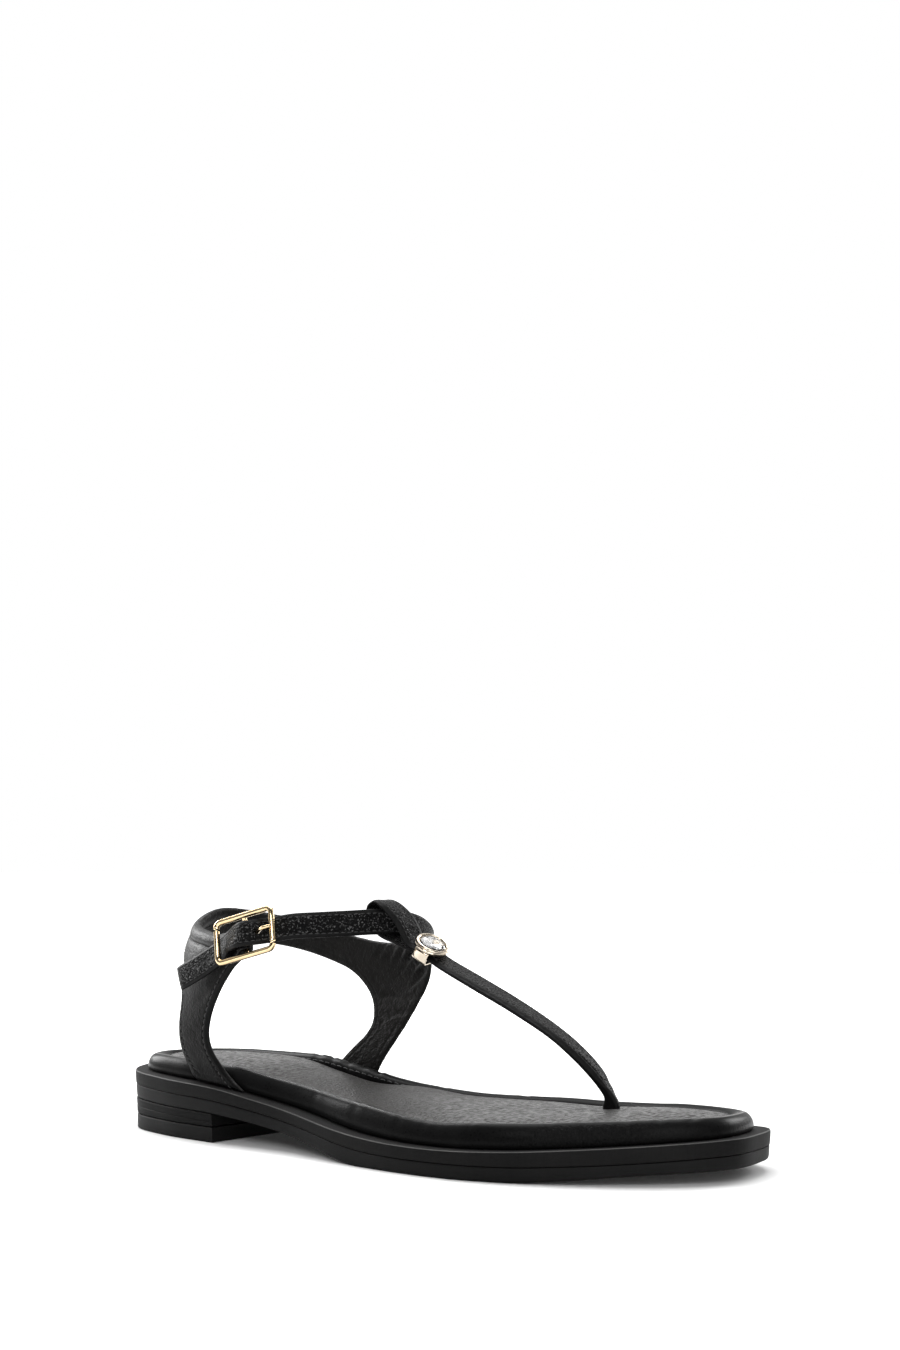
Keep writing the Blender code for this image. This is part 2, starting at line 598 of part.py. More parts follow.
def make_buckle(frame):
    """Build the buckle's frame with its middle bar, the prong and the folded chape that holds it."""
    half = np.array((FRAME_LONG, FRAME_TALL)) / 2 - FRAME_WIRE / 2
    corners = []
    for quarter_turn, signs in enumerate(((1, 1), (-1, 1), (-1, -1), (1, -1))):
        middle = (half - FRAME_CORNER) * np.array(signs)
        for turn in np.radians(90 * quarter_turn + np.linspace(0, 90, 4)):
            corner = middle + FRAME_CORNER * np.array((math.cos(turn), math.sin(turn)))
            corners.append((*corner, FRAME_OUT))
    buckle = wire("buckle_frame", corners, FRAME_WIRE, "gold_metal", frame, closed=True)
    outer, inner = half[1], half[1] - BAR_BEND
    course = ((-outer, FRAME_OUT), (-inner, BAR_OUT), (inner, BAR_OUT), (outer, FRAME_OUT))
    bar = wire("middle_bar", [(0.0, *place) for place in course], BAR_WIRE, "gold_metal", frame)
    combine(buckle, bar, "UNION")
    prong = [(along, 0.0, out) for along, out in spline(PRONG, 3)]
    wire("buckle_prong", prong, PRONG_WIRE, "gold_metal", frame)
    fold = spline(CHAPE, 3)
    centre = np.column_stack((fold[:, 0], np.zeros(len(fold)), fold[:, 1]))
    along = unit(np.gradient(centre, axis=0))
    across = np.tile((0.0, 1.0, 0.0), (len(fold), 1))
    width, thick = (np.full(len(fold), size) for size in (CHAPE_WIDTH, CHAPE_THICK))
    out = np.cross(along, across)
    chape = strap("buckle_chape", centre, across, out, width, thick, "upper_leather", frame)
    combine(chape, slot_box("chape_slot", CHAPE_SLOT, frame), "DIFFERENCE")


def turned(name, profile, steps, finish, frame):
    """Build a turned piece from its profile of radius and height."""
    mesh = bpy.data.meshes.new(name)
    points = [(radius * MM, 0.0, height * MM) for radius, height in profile]
    mesh.from_pydata(points, [(i, i + 1) for i in range(len(points) - 1)], [])
    item = add_object(name, mesh, finish, frame)
    screw = item.modifiers.new("turn", "SCREW")
    screw.steps = steps
    screw.render_steps = steps
    screw.use_merge_vertices = True
    screw.merge_threshold = 1e-6
    return item


def make_ornament():
    """Build the slide on the toe strap with its round bezel, and the stone."""
    centre, along, out, _, _ = toe_course()
    row = int(np.argmin(np.linalg.norm(centre - np.array(TOE_STRAP[ORNAMENT_ROW][:3]), axis=1)))
    frame = local_frame(centre[row], -along[row], out[row])
    half = Vector((SLIDE_LONG / 2, SLIDE_WIDE / 2, 0.0))
    low, high = Vector((0.0, 0.0, SLIDE_LOW)), Vector((0.0, 0.0, SLIDE_HIGH))
    bezel = turned("ornament_bezel", BEZEL_PROFILE, BEZEL_STEPS, "gold_metal", frame)
    slide = make_box("slide", low - half, high + half, "gold_metal", frame)
    wall = Vector((-SLIDE_LONG, SLIDE_WALL, SLIDE_WALL))
    through = make_box("slide_opening", low - half + wall, high + half - wall, "gold_metal", frame)
    combine(slide, through, "DIFFERENCE")
    combine(bezel, slide, "UNION")
    turned("ornament_stone", STONE_PROFILE, STONE_STEPS, "crystal", frame)


def main():
    """Build the sandal."""
    start_scene()
    frame = buckle_frame()
    make_sole()
    make_footbed()
    make_upper(frame)
    make_buckle(frame)
    make_ornament()


if __name__ == "__main__":
    main()
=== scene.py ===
"""Looks of the toe post sandal: smooth stacked sole, padded footbed, leather upper, buckle and ornament.

Sizes are in millimetres in the frame of the last, as in the part's source: X runs from the back of the heel
to the toe, +Y is the medial side and Z is up. to_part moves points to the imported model's frame.
"""
from __future__ import annotations

import logging
import math
from dataclasses import dataclass
from enum import Enum
from functools import cached_property
from typing import Any, Sequence, Union

import bmesh
import bpy
import numpy as np
from mathutils import Matrix, Vector, noise
from mathutils.geometry import delaunay_2d_cdt

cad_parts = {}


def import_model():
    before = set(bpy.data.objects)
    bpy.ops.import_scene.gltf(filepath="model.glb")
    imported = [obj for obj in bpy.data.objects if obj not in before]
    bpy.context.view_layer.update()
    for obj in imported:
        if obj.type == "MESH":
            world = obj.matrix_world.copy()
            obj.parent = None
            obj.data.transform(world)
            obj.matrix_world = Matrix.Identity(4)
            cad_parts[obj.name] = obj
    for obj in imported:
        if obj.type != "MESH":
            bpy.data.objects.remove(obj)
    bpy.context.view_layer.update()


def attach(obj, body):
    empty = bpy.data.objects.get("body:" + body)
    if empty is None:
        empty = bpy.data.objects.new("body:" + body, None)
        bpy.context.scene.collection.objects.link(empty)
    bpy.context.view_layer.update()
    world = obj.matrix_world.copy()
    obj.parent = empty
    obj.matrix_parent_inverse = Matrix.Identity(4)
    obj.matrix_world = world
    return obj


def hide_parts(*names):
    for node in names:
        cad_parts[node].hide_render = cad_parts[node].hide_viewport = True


LOG = logging.getLogger("sandal")
MM = 0.001
LIFT = 0.7
PLACE = np.array((-125.766, 2.2425, LIFT))
GAP = 0.3

Value = Union["Socket", float]
Rows = Sequence[Sequence[float]]
Faces = list[tuple[int, ...]]


# Shader tools

class Socket:
    """An output of a shader node, with arithmetic that adds Math nodes."""

    def __init__(self, tree: "ShaderTree", link: bpy.types.NodeSocket) -> None:
        """Keep the tree and the socket."""
        self.tree = tree
        self.link = link

    def _math(self, operation: str, first: Value, second: Value) -> "Socket":
        """Return a Math node's result for two values."""
        return self.tree.node("ShaderNodeMath", {"operation": operation}, {0: first, 1: second})

    def __add__(self, other: Value) -> "Socket":
        """Return the sum."""
        return self._math("ADD", self, other)

    def __radd__(self, other: Value) -> "Socket":
        """Return the sum, from the right."""
        return self._math("ADD", other, self)

    def __sub__(self, other: Value) -> "Socket":
        """Return the difference."""
        return self._math("SUBTRACT", self, other)

    def __rsub__(self, other: Value) -> "Socket":
        """Return the difference, from the right."""
        return self._math("SUBTRACT", other, self)

    def __mul__(self, other: Value) -> "Socket":
        """Return the product."""
        return self._math("MULTIPLY", self, other)

    def __rmul__(self, other: Value) -> "Socket":
        """Return the product, from the right."""
        return self._math("MULTIPLY", other, self)


class ShaderTree:
    """A node tree of a material or a world, with its main shader."""

    def __init__(self, owner: bpy.types.Material | bpy.types.World, shader: str = "Principled BSDF") -> None:
        """Take the owner's nodes.

        Args:
            owner: The material or world.
            shader: The name of its main shader.
        """
        owner.use_nodes = True
        self.material = owner
        self.tree = owner.node_tree
        self.shader = self.tree.nodes[shader]

    @classmethod
    def named(cls, name: str) -> "ShaderTree":
        """Return the tree of a new material."""
        return cls(bpy.data.materials.new(name))

    def node(self, kind: str, settings: dict[str, Any] | None = None,
             inputs: dict[Any, Any] | None = None, output: Any = 0) -> Socket:
        """Add a node.

        Args:
            kind: The node's type.
            settings: Attributes to set first; stops gives a colour ramp's places and greys.
            inputs: Values or links of its sockets, by index or name.
            output: The output to return.

        Returns:
            The wrapped output socket.
        """
        made = self.tree.nodes.new(kind)
        for key, value in (settings or {}).items():
            if key == "stops":
                self._set_stops(made.color_ramp, value)
            else:
                setattr(made, key, value)
        for key, value in (inputs or {}).items():
            self.feed(made.inputs[key], value)
        return Socket(self, made.outputs[output])

    @staticmethod
    def _set_stops(ramp: bpy.types.ColorRamp, stops: Sequence[tuple[float, float]]) -> None:
        """Give a colour ramp its stops, as places and greys.

        Args:
            ramp: The colour ramp.
            stops: Places and greys.
        """
        while len(ramp.elements) < len(stops):
            ramp.elements.new(1.0)
        for element, (place, grey) in zip(ramp.elements, stops):
            element.position = place
            element.color = (grey, grey, grey, 1.0)

    def feed(self, socket: bpy.types.NodeSocket, value: Any) -> None:
        """Link a wrapped socket to an input, or set the input's own value.

        Args:
            socket: The input.
            value: A wrapped socket, or the input's own value.
        """
        if isinstance(value, Socket):
            self.tree.links.new(value.link, socket)
        else:
            socket.default_value = value

    def set(self, **inputs: Any) -> None:
        """Set or link inputs of the Principled shader, with _ for a space."""
        for key, value in inputs.items():
            self.feed(self.shader.inputs[key.replace("_", " ").title().replace("Ior", "IOR")], value)

    def place(self) -> Socket:
        """Return the object coordinates."""
        return self.node("ShaderNodeTexCoord", output="Object")

    def stretch(self, place: Socket, scale: tuple[float, float, float]) -> Socket:
        """Return coordinates scaled by axis."""
        settings = {"operation": "MULTIPLY"}
        return self.node("ShaderNodeVectorMath", settings, {0: place, 1: scale})

    def turned(self, place: Socket, degrees: float) -> Socket:
        """Return coordinates turned about the vertical."""
        inputs = {"Vector": place, "Angle": math.radians(degrees)}
        return self.node("ShaderNodeVectorRotate", {"rotation_type": "Z_AXIS"}, inputs)

    def share(self, vector: Socket, direction: tuple[float, float, float]) -> Socket:
        """Return a vector's part along a direction."""
        inputs = {0: vector, 1: direction}
        return self.node("ShaderNodeVectorMath", {"operation": "DOT_PRODUCT"}, inputs, "Value")

    def cloud(self, place: Socket, scale: float, detail: float = 3.0, roughness: float = 0.5) -> Socket:
        """Return a noise between 0 and 1."""
        inputs = {"Vector": place, "Scale": scale, "Detail": detail, "Roughness": roughness}
        return self.node("ShaderNodeTexNoise", {}, inputs)

    def cells(self, place: Socket, scale: float) -> Socket:
        """Return the distance to the edges of Voronoi cells."""
        inputs = {"Vector": place, "Scale": scale}
        return self.node("ShaderNodeTexVoronoi", {"feature": "DISTANCE_TO_EDGE"}, inputs)

    def ramp(self, value: Value, *stops: tuple[float, float]) -> Socket:
        """Return a value through a grey ramp."""
        return self.node("ShaderNodeValToRGB", {"stops": stops}, {0: value})

    def blend(self, factor: Value, first: Any, second: Any) -> Socket:
        """Return a mix of two colours."""
        return self.node("ShaderNodeMix", {"data_type": "RGBA"}, {0: factor, 6: first, 7: second}, 2)

    def bump(self, height: Socket, strength: float, distance: float, under: Socket | None = None) -> Socket:
        """Bump a normal.

        Args:
            height: The height of the relief.
            strength: How strongly it shows.
            distance: Its depth in millimetres.
            under: A normal that it lies on.

        Returns:
            The bumped normal.
        """
        inputs: dict[Any, Any] = {"Height": height, "Strength": strength, "Distance": distance * MM}
        if under is not None:
            inputs["Normal"] = under
        return self.node("ShaderNodeBump", {}, inputs)


Colour = tuple[float, float, float]


def rgba(colour: Colour) -> tuple[float, float, float, float]:
    """Return an opaque colour."""
    return (*colour, 1.0)


# Finishes

@dataclass(frozen=True)
class LeatherFinish:
    """Black leather: pebbled grain, crackled creases, pale specks painted in as glints on the crackle
    (painted highlights) and the gloss of its coat.
    """

    name: str
    colour: Colour
    worn: Colour
    grain_mm: float
    grain: float
    crease_mm: float
    crease: float
    roughness: tuple[float, float]
    coat: float = 0.0
    specular: float = 0.35
    drape: float = 1.0
    # speck: the grey of pale spots painted in as glints on the crackle, a painted highlight.
    speck: float = 0.0

    def build(self) -> bpy.types.Material:
        """Build the node tree.

        Returns:
            The material.
        """
        tree = ShaderTree.named(self.name)
        place = tree.place()
        cloud = tree.cloud(place, 90.0, 4.0)
        warp = tree.node("ShaderNodeTexNoise", {}, {"Vector": place, "Scale": 350.0, "Detail": 2.0}, "Color")
        bent = tree.node("ShaderNodeVectorMath", {"operation": "SCALE"}, {0: warp, "Scale": 0.0011})
        moved = tree.node("ShaderNodeVectorMath", {"operation": "ADD"}, {0: place, 1: bent})
        pebble = tree.ramp(tree.cells(moved, 1000.0 / self.grain_mm), (0.0, 0.0), (0.4, 1.0))
        fine = tree.cloud(place, 2600.0, 2.0)
        folds = tree.cloud(tree.stretch(moved, (1.0, 1.0, self.drape)), 1000.0 / self.crease_mm, 3.0, 0.6)
        ridge = tree.ramp(folds, (0.3, 0.0), (0.5, 1.0), (0.7, 0.0))
        if self.drape < 1.0:
            along = tree.share(place, (1.0, 0.0, 0.0))
            facing = tree.share(tree.node("ShaderNodeNewGeometry", output="Normal"), (0.0, 0.0, 1.0))
            ridge = ridge * tree.ramp(along, (0.068, 0.06), (0.08, 1.0), (0.1, 1.0), (0.11, 0.2))
            ridge = ridge * tree.ramp(facing, (0.5, 1.0), (0.8, 0.0))
        normal = tree.bump(pebble * 0.7 + fine * 0.4, self.grain, 0.18 * self.grain_mm)
        normal = tree.bump(ridge, self.crease, 0.32 * self.crease_mm, normal)
        shade = tree.ramp(cloud, (0.35, 0.0), (0.7, 1.0))
        mask = shade * 0.6 + (1 - pebble) * 0.3
        base = tree.blend(mask, rgba(self.colour), rgba(self.worn))
        # Pale spots painted into the colour as glints: painted highlights standing in for light caught on the
        # crackle.
        if self.speck:
            painted_glints = tree.ramp(tree.cloud(moved, 1500.0, 2.0, 0.6), (0.56, 0.0), (0.68, 1.0))
            base = tree.blend(painted_glints * cloud, base, rgba((self.speck, self.speck, self.speck)))
        low, high = self.roughness
        tree.set(
            base_color=base, specular_ior_level=self.specular, normal=normal,
            roughness=low + (high - low) * (0.55 * cloud + 0.45 * (1 - pebble)),
        )
        if self.coat:
            drawn = tree.stretch(tree.turned(place, 38.0), (1.0, 0.25, 1.0))
            gloss = tree.ramp(tree.cloud(drawn, 2000.0, 1.0), (0.43, 0.0), (0.57, self.coat))
            along = tree.share(place, (1.0, 0.0, 0.0)) + 0.1
            dull = tree.ramp(along, (0.04, 1.0), (0.07, 0.25), (0.1, 0.25), (0.13, 1.0))
            tree.set(coat_weight=gloss * dull, coat_roughness=0.3)
        return tree.material


@dataclass(frozen=True)
class RubberFinish:
    """Black sole rubber: fine upright brushing on its side and a little dust."""

    name: str
    colour: Colour
    dusty: Colour
    roughness: tuple[float, float]
    brushing: float
    specular: float = 0.3

    def build(self) -> bpy.types.Material:
        """Build the node tree.

        Returns:
            The material.
        """
        tree = ShaderTree.named(self.name)
        place = tree.place()
        upright = tree.cloud(tree.stretch(place, (1.0, 1.0, 0.12)), 1500.0, 4.0, 0.6)
        layered = tree.cloud(tree.stretch(place, (0.12, 0.12, 1.0)), 1300.0, 3.0)
        speck = tree.cloud(place, 5200.0, 2.0)
        cloud = tree.cloud(place, 60.0, 4.0)
        low, high = self.roughness
        normal = tree.bump(upright * 0.7 + layered * 0.35 + speck * 0.3, self.brushing, 0.14)
        mask = tree.ramp(cloud * 0.6 + upright * 0.4, (0.38, 0.0), (0.68, 1.0))
        tree.set(
            base_color=tree.blend(mask, rgba(self.colour), rgba(self.dusty)),
            roughness=low + (high - low) * (0.5 * cloud + 0.5 * upright),
            specular_ior_level=self.specular, normal=normal,
        )
        return tree.material


@dataclass(frozen=True)
class MetalFinish:
    """Polished plated metal with faint rub marks."""

    name: str
    colour: Colour
    shade: Colour
    roughness: tuple[float, float]

    def build(self) -> bpy.types.Material:
        """Build the node tree.

        Returns:
            The material.
        """
        tree = ShaderTree.named(self.name)
        place = tree.place()
        cloud = tree.cloud(place, 420.0, 4.0)
        rub = tree.cloud(tree.stretch(place, (1.0, 1.0, 6.0)), 2400.0, 2.0)
        mask = tree.ramp(cloud, (0.3, 0.0), (0.75, 1.0))
        low, high = self.roughness
        tree.set(
            base_color=tree.blend(mask, rgba(self.colour), rgba(self.shade)),
            metallic=1.0, roughness=low + (high - low) * (0.6 * cloud + 0.4 * rub),
            normal=tree.bump(rub * 0.5 + cloud, 0.06, 0.05),
        )
        return tree.material


@dataclass(frozen=True)
class CrystalFinish:
    """Clear cut stone."""

    name: str
    colour: Colour
    roughness: float

    def build(self) -> bpy.types.Material:
        """Build the node tree.

        Returns:
            The material.
        """
        tree = ShaderTree.named(self.name)
        cloud = tree.cloud(tree.place(), 900.0, 2.0)
        tree.set(
            base_color=rgba(self.colour), roughness=self.roughness + 0.03 * cloud, transmission_weight=1.0,
            ior=1.54,
        )
        return tree.material


@dataclass(frozen=True)
class ThreadFinish:
    """Waxed black sewing thread with its twist."""

    name: str
    colour: Colour

    def build(self) -> bpy.types.Material:
        """Build the node tree.

        Returns:
            The material.
        """
        tree = ShaderTree.named(self.name)
        place = tree.place()
        twist = tree.cloud(tree.stretch(place, (1.0, 1.0, 2.4)), 5200.0, 2.0)
        pale = tuple(2.2 * level for level in self.colour)
        tree.set(
            base_color=tree.blend(twist, rgba(self.colour), rgba(pale)), roughness=0.35 + 0.25 * twist,
            normal=tree.bump(twist, 0.5, 0.08),
        )
        return tree.material


@dataclass(frozen=True)
class FloorFinish:
    """Plain pale studio floor, whiter away from the sandal."""

    name: str
    colour: Colour
    glow: tuple[float, float]
    reach: tuple[float, float]

    def build(self) -> bpy.types.Material:
        """Build the node tree.

        Returns:
            The material.
        """
        tree = ShaderTree.named(self.name)
        away = tree.node("ShaderNodeVectorMath", {"operation": "LENGTH"}, {0: tree.place()}, "Value")
        glow = tree.ramp(away, *zip(self.reach, self.glow))
        tree.set(
            base_color=rgba(self.colour), roughness=0.9, specular_ior_level=0.0, emission_color=glow,
            emission_strength=1.0,
        )
        return tree.material


class Finish(Enum):
    """The finishes of the sandal and its floor."""

    # On the straps, speck sets the grey of painted glints on the crackle.
    STRAP = LeatherFinish(
        "strap_leather", (0.0016, 0.0016, 0.0017), (0.0035, 0.0035, 0.0035), grain_mm=0.9, grain=0.45,
        crease_mm=1.5, crease=0.5, roughness=(0.14, 0.26), specular=0.05, speck=0.18,
    )
    TOE_STRAP = LeatherFinish(
        "toe_strap_leather", (0.002, 0.002, 0.0021), (0.0045, 0.0045, 0.0045), grain_mm=1.2, grain=0.9,
        crease_mm=2.0, crease=0.4, roughness=(0.2, 0.34), specular=0.08, speck=0.06,
    )
    QUARTER = LeatherFinish(
        "quarter_leather", (0.0026, 0.0026, 0.0027), (0.005, 0.0049, 0.0048), grain_mm=1.2, grain=0.3,
        crease_mm=4.0, crease=0.1, roughness=(0.3, 0.46), specular=0.08,
    )
    LINING = LeatherFinish(
        "lining_leather", (0.0042, 0.0039, 0.0036), (0.0075, 0.007, 0.0065), grain_mm=1.0, grain=0.35,
        crease_mm=3.6, crease=0.3, roughness=(0.45, 0.65), specular=0.16,
    )
    RIM = LeatherFinish(
        "rim_leather", (0.0034, 0.0034, 0.0035), (0.007, 0.007, 0.007), grain_mm=1.2, grain=0.06,
        crease_mm=1.3, crease=0.6, roughness=(0.24, 0.36), specular=0.05, drape=0.3,
    )
    # A thin band along the rim's crest, glossier and painted lighter than the rim: a painted highlight on the
    # crest's edge.
    CREST_HIGHLIGHT = LeatherFinish(
        "rim_crest_painted_highlight", (0.02, 0.02, 0.02), (0.05, 0.049, 0.048), grain_mm=1.2, grain=0.03,
        crease_mm=2.4, crease=0.0, roughness=(0.14, 0.24), specular=0.4,
    )
    SOCK = LeatherFinish(
        "sock_leather", (0.0075, 0.0067, 0.006), (0.014, 0.0126, 0.0112), grain_mm=1.4, grain=1.0,
        crease_mm=6.0, crease=0.15, roughness=(0.4, 0.6), coat=1.0, specular=0.25,
    )
    EDGE = LeatherFinish(
        "strap_edge", (0.0015, 0.0015, 0.0016), (0.003, 0.003, 0.003), grain_mm=0.6, grain=0.15,
        crease_mm=4.0, crease=0.1, roughness=(0.4, 0.55), specular=0.12,
    )
    WELT = RubberFinish(
        "welt_rubber", (0.0034, 0.0034, 0.0035), (0.0075, 0.0074, 0.0073), roughness=(0.55, 0.75),
        brushing=0.6, specular=0.1,
    )
    # The welt's rounded top edge, painted lighter than the welt: a painted highlight along the edge.
    WELT_EDGE_HIGHLIGHT = RubberFinish(
        "welt_edge_painted_highlight", (0.018, 0.018, 0.018), (0.06, 0.059, 0.057), roughness=(0.45, 0.65),
        brushing=0.3, specular=0.2,
    )
    OUTSOLE = RubberFinish(
        "outsole_rubber", (0.003, 0.003, 0.0031), (0.006, 0.006, 0.0059), roughness=(0.5, 0.7),
        brushing=0.35, specular=0.12,
    )
    HEEL = RubberFinish(
        "heel_rubber", (0.0026, 0.0026, 0.0027), (0.0052, 0.0052, 0.0051), roughness=(0.5, 0.7),
        brushing=0.5, specular=0.07,
    )
    GOLD = MetalFinish("pale_gold", (0.84, 0.66, 0.4), (0.72, 0.54, 0.31), (0.1, 0.2))
    WHITE_GOLD = MetalFinish("white_gold", (0.64, 0.57, 0.47), (0.52, 0.45, 0.36), (0.08, 0.18))
    CRYSTAL = CrystalFinish("cut_crystal", (0.55, 0.55, 0.55), 0.02)
    THREAD = ThreadFinish("black_thread", (0.006, 0.006, 0.0062))
    FLOOR = FloorFinish("studio_floor", (0.8, 0.8, 0.8), (0.02, 1.0), (0.16, 0.75))

    @cached_property
    def material(self) -> bpy.types.Material:
        """The built material."""
        return self.value.build()


# Curves and meshes

def to_part(points: np.ndarray) -> np.ndarray:
    """Return points of the last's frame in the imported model's frame, in metres."""
    return (np.asarray(points, dtype=float) + PLACE) * MM


def unit(vectors: np.ndarray) -> np.ndarray:
    """Return vectors of length one."""
    return vectors / np.maximum(np.linalg.norm(vectors, axis=-1, keepdims=True), 1e-12)


def smooth_value(rows: Rows, column: int, x: np.ndarray) -> np.ndarray:
    """Read a column of a table at x along a monotone cubic curve.

    Args:
        rows: The table, with x in its first column.
        column: The column to read.
        x: Where to read it.

    Returns:
        The values.
    """
    table = np.array(rows)
    knots, values = table[:, 0], table[:, column]
    step = np.diff(knots)
    slope = np.diff(values) / step
    tangent = np.concatenate(([slope[0]], (slope[:-1] + slope[1:]) / 2, [slope[-1]]))
    limit = 3 * np.minimum(np.abs(slope[:-1]), np.abs(slope[1:]))
    tangent[1:-1] = np.where(slope[:-1] * slope[1:] > 0, np.clip(tangent[1:-1], -limit, limit), 0.0)
    x = np.clip(x, knots[0], knots[-1])
    place = np.clip(np.searchsorted(knots, x, side="right") - 1, 0, len(step) - 1)
    t = (x - knots[place]) / step[place]
    start = (1 + 2 * t) * values[place] + t * step[place] * tangent[place]
    end = (3 - 2 * t) * values[place + 1] + (t - 1) * step[place] * tangent[place + 1]
    return start * (1 - t) ** 2 + end * t * t


def spline(rows: Rows, per_span: int, closed: bool = False) -> np.ndarray:
    """Sample a Catmull-Rom curve through the rows of a table.

    Args:
        rows: The table's rows.
        per_span: Samples between two rows.
        closed: Whether the curve closes on itself.

    Returns:
        The samples.
    """
    points = np.array(rows, dtype=float)
    if closed:
        points = np.vstack((points[-1:], points, points[:2]))
    else:
        points = np.vstack((2 * points[0] - points[1], points, 2 * points[-1] - points[-2]))
    t = np.linspace(0, 1, per_span, endpoint=False)[:, None]
    spans = []
    for a, b, c, d in zip(points, points[1:], points[2:], points[3:]):
        bend = (2 * a - 5 * b + 4 * c - d) * t * t + (3 * b - a - 3 * c + d) * t ** 3
        spans.append(b + ((c - a) * t + bend) / 2)
    curve = np.vstack(spans)
    return curve if closed else np.vstack((curve, points[-2:-1]))


def spaced(path: np.ndarray, step: float, closed: bool = False) -> np.ndarray:
    """Return places along a path at an even spacing.

    Args:
        path: Points, with any further columns carried along.
        step: The spacing wanted.
        closed: Whether the path closes on itself.

    Returns:
        The resampled rows.
    """
    rows = np.vstack((path, path[:1])) if closed else path
    width = min(3, rows.shape[1])
    run = np.concatenate(([0.0], np.cumsum(np.linalg.norm(np.diff(rows[:, :width], axis=0), axis=1))))
    count = max(2, int(round(run[-1] / step)))
    want = np.linspace(0, run[-1], count, endpoint=False) if closed else np.linspace(0, run[-1], count + 1)
    return np.column_stack([np.interp(want, run, column) for column in rows.T])


def eased(curve: np.ndarray, ease: np.ndarray, rounds: int) -> np.ndarray:
    """Smooth a closed curve.

    Args:
        curve: Its points.
        ease: Each point's share of the smoothing.
        rounds: How often it is smoothed.

    Returns:
        The smoothed points.
    """
    for _ in range(rounds):
        curve = curve + ease * ((np.roll(curve, 1, axis=0) + np.roll(curve, -1, axis=0)) / 2 - curve)
    return curve


def nearest(points: np.ndarray, line: np.ndarray) -> np.ndarray:
    """Return each point's distance to the nearest point of a line."""
    return np.array([np.sqrt(((line - point) ** 2).sum(axis=1).min()) for point in points])


def hoop(sides: int, side: np.ndarray, other: np.ndarray) -> np.ndarray:
    """Return points of a circle of radius one between two directions."""
    turn = np.linspace(0, 2 * math.pi, sides, endpoint=False)
    return np.outer(np.cos(turn), side) + np.outer(np.sin(turn), other)


def rounded_box(half: Sequence[float], radius: float, steps: int) -> np.ndarray:
    """Return the outline of a box with round corners, about its middle.

    Args:
        half: Half of its two sizes.
        radius: The radius of its corners.
        steps: Points on a corner.

    Returns:
        The outline's points.
    """
    arcs = []
    for quarter, signs in enumerate(((1, 1), (-1, 1), (-1, -1), (1, -1))):
        turn = np.radians(90 * quarter + np.linspace(0, 90, steps))
        middle = (np.array(half) - radius) * np.array(signs)
        arcs.append(middle + radius * np.column_stack((np.cos(turn), np.sin(turn))))
    return np.vstack(arcs)


def grid_faces(rows: int, columns: int, wrap_rows: bool = False) -> Faces:
    """Return the quads of a grid of points, row after row, where each row closes on itself.

    Args:
        rows: How many rows the grid has.
        columns: How many points a row has.
        wrap_rows: Whether the last row joins the first.

    Returns:
        The faces as indices.
    """
    faces = []
    for r in range(rows if wrap_rows else rows - 1):
        below, above = r * columns, (r + 1) % rows * columns
        for c in range(columns):
            n = (c + 1) % columns
            faces.append((below + c, below + n, above + n, above + c))
    return faces


def fan(first: int, count: int, hub: int) -> Faces:
    """Return triangles from a ring of points to a hub."""
    return [(first + c, first + (c + 1) % count, hub) for c in range(count)]


def add_piece(name: str, points: np.ndarray, faces: Sequence[Sequence[int]], finishes: Sequence[Finish],
              nodes: Sequence[str] = (), indices: Sequence[int] | None = None,
              sharp: float = 42.0) -> bpy.types.Object:
    """Add a piece of the sandal that rides on its body.

    Args:
        name: The piece's name.
        points: Its vertices in the last's frame.
        faces: Its faces.
        finishes: Its finishes, in slot order.
        nodes: The CAD nodes that it stands for.
        indices: Each face's finish.
        sharp: Angle in degrees over which an edge stays sharp.

    Returns:
        The new object.
    """
    if max(max(face) for face in faces) >= len(points):
        raise ValueError(f"{name}: a face names a point that isn't there")
    mesh = bpy.data.meshes.new(name)
    mesh.from_pydata(to_part(points).tolist(), [], [tuple(int(i) for i in face) for face in faces])
    for finish in finishes:
        mesh.materials.append(finish.material)
    if indices is not None:
        mesh.polygons.foreach_set("material_index", np.asarray(indices, dtype=np.int32))
    form = bmesh.new()
    form.from_mesh(mesh)
    bmesh.ops.recalc_face_normals(form, faces=form.faces)
    form.to_mesh(mesh)
    form.free()
    mesh.shade_smooth()
    mesh.set_sharp_from_angle(angle=math.radians(sharp))
    item = bpy.data.objects.new(name, mesh)
    bpy.context.scene.collection.objects.link(item)
    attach(item, "root")
    if nodes:
        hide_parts(*nodes)
    LOG.info("%s: %d faces", name, len(faces))
    return item


